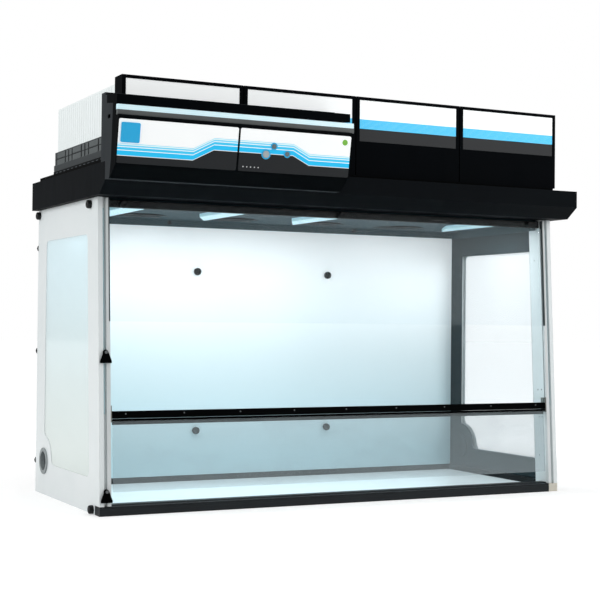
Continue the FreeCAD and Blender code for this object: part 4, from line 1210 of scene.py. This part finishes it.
@dataclass
class Softbox:
    """One rectangular lamp of the studio."""

    name: str
    spot: Triple
    target: Triple
    wide: float
    tall: float
    power: float
    colour: Triple = (1.0, 1.0, 1.0)

    def build(self) -> None:
        """Hang the lamp and point it at its target."""
        lamp = bpy.data.lights.new(self.name, "AREA")
        lamp.shape = "RECTANGLE"
        lamp.size = self.wide
        lamp.size_y = self.tall
        lamp.energy = self.power
        lamp.color = self.colour
        holder = bpy.data.objects.new(self.name, lamp)
        ahead = np.array(self.target) - np.array(self.spot)
        ahead = ahead / np.linalg.norm(ahead)
        side = np.cross(ahead, (0.0, 0.0, 1.0) if abs(ahead[2]) < 0.99 else (0.0, 1.0, 0.0))
        side = side / np.linalg.norm(side)
        holder.matrix_world = stand(self.spot, side, np.cross(side, ahead), ahead)
        bpy.context.scene.collection.objects.link(holder)
        LOG.info("hung lamp %s", self.name)


@dataclass
class Studio:
    """Floor, world, lamps and camera."""

    eye: Triple = (-2.3066, -4.5460, 0.61705)
    yaw: float = 26.805
    pitch: float = 1.029
    roll: float = 0.565
    lens: float = 82.26
    sensor: float = 36.0
    far_clip: float = 200.0
    floor_reach: float = 40.0
    floor_grey: float = 0.80
    floor_glow: float = 0.62
    painted_shade_glow: float = 0.50
    near_reach: float = 0.8
    far_reach: float = 7.0
    world_light: float = 0.50
    softboxes: tuple[Softbox, ...] = (
        Softbox("softbox_left", (-4.4, -0.4, 2.2), (0.0, 0.0, 0.7), 3.0, 2.4, 74.0),
        Softbox("softbox_front", (3.0, -3.8, 2.0), (0.8, -0.3, 0.7), 3.2, 2.0, 76.0),
        Softbox("softbox_top", (0.0, 0.0, 4.2), (0.0, 0.0, 1.0), 4.0, 4.0, 60.0))
    tube_spots: tuple[float, ...] = (-0.740, -0.370, 0.0, 0.678)
    tube_deep: float = -0.080
    tube_height: float = 0.996
    tube_aim: float = -0.05
    tube_size: tuple[float, float] = (0.07, 0.20)
    tube_power: float = 1.72
    tube_colour: Triple = (0.95, 0.98, 0.98)

    def build(self) -> None:
        """Set up the floor, the light and the camera."""
        self.lay_floor()
        self.set_world()
        for box in self.softboxes:
            box.build()
        for place, across in enumerate(self.tube_spots, start=1):
            Softbox("tube_%d" % place, (across, self.tube_deep, self.tube_height),
                    (across, self.tube_aim, 0.0), *self.tube_size,
                    self.tube_power, self.tube_colour).build()
        self.set_camera()
        bpy.context.scene.view_settings.view_transform = "Standard"

    def lay_floor(self) -> None:
        """Lay a wide pale floor that shows white away from the shadow of the hood.

        Its own glow is weaker near the hood, by the square of the distance: a painted pool of shade
        round the hood, so that the shadow keeps its depth there.
        """
        reach = self.floor_reach
        corners = np.array([(-reach, -reach, 0), (reach, -reach, 0), (reach, reach, 0),
                            (-reach, reach, 0)], float)
        mesh = bpy.data.meshes.new("floor")
        mesh.from_pydata(corners, [], [(0, 1, 2, 3)])
        floor = bpy.data.objects.new("floor", mesh)
        recipe = Recipe("floor_white")
        across, deep, _ = recipe.axes()
        # painted shade: the floor's glow dims towards the hood
        away = (across * across + deep * deep).climb(self.near_reach, self.far_reach)
        glow = recipe.blend(away, grey(self.painted_shade_glow), grey(1.0))
        pale = recipe.add("ShaderNodeBsdfDiffuse", inputs={0: grey(self.floor_grey)})
        light = recipe.add("ShaderNodeEmission", inputs={0: glow, 1: self.floor_glow})
        both = recipe.add("ShaderNodeAddShader", inputs={0: pale.outputs[0], 1: light.outputs[0]})
        seen = recipe.seen_by("Camera", "Glossy", "Transmission")
        mixed = recipe.add("ShaderNodeMixShader", inputs={
            0: seen, 1: pale.outputs[0], 2: both.outputs[0]})
        mesh.materials.append(recipe.close(mixed.outputs[0]))
        bpy.context.scene.collection.objects.link(floor)

    def set_world(self) -> None:
        """Light evenly from all sides and show plain white behind the hood."""
        recipe = WorldRecipe("studio")
        seen = recipe.seen_by("Camera", "Transmission")
        dim, white = (recipe.add("ShaderNodeBackground", inputs={
            "Color": grey(1.0), "Strength": strength}) for strength in (self.world_light, 1.0))
        mixed = recipe.add("ShaderNodeMixShader", inputs={
            0: seen, 1: dim.outputs[0], 2: white.outputs[0]})
        bpy.context.scene.world = recipe.close(mixed.outputs[0])

    def set_camera(self) -> None:
        """Place the camera by its yaw, pitch and roll."""
        yaw, pitch, roll = (math.radians(turn) for turn in (self.yaw, self.pitch, self.roll))
        ahead = np.array([math.sin(yaw) * math.cos(pitch), math.cos(yaw) * math.cos(pitch),
                          math.sin(pitch)])
        level = np.array([math.cos(yaw), -math.sin(yaw), 0.0])
        upright = np.cross(level, ahead)
        side = math.cos(roll) * level + math.sin(roll) * upright
        up = -math.sin(roll) * level + math.cos(roll) * upright
        lens = bpy.data.cameras.new("camera")
        lens.sensor_fit = "HORIZONTAL"
        lens.sensor_width = self.sensor
        lens.lens = self.lens
        lens.clip_end = self.far_clip
        camera = bpy.data.objects.new("camera", lens)
        camera.matrix_world = stand(self.eye, side, up, ahead)
        bpy.context.scene.collection.objects.link(camera)
        bpy.context.scene.camera = camera


def main() -> None:
    """Dress the hood, piece by piece, and set up the studio."""
    logging.basicConfig(level=logging.INFO, format="%(message)s")
    finishes = Finishes()
    for assembly in (Enclosure(finishes), GlazedFront(finishes), Canopy(finishes),
                     FilterColumns(finishes), ControlUnit(finishes)):
        assembly.build()
        LOG.info("finished %s", type(assembly).__name__)
    Studio().build()


if __name__ == "__main__":
    main()
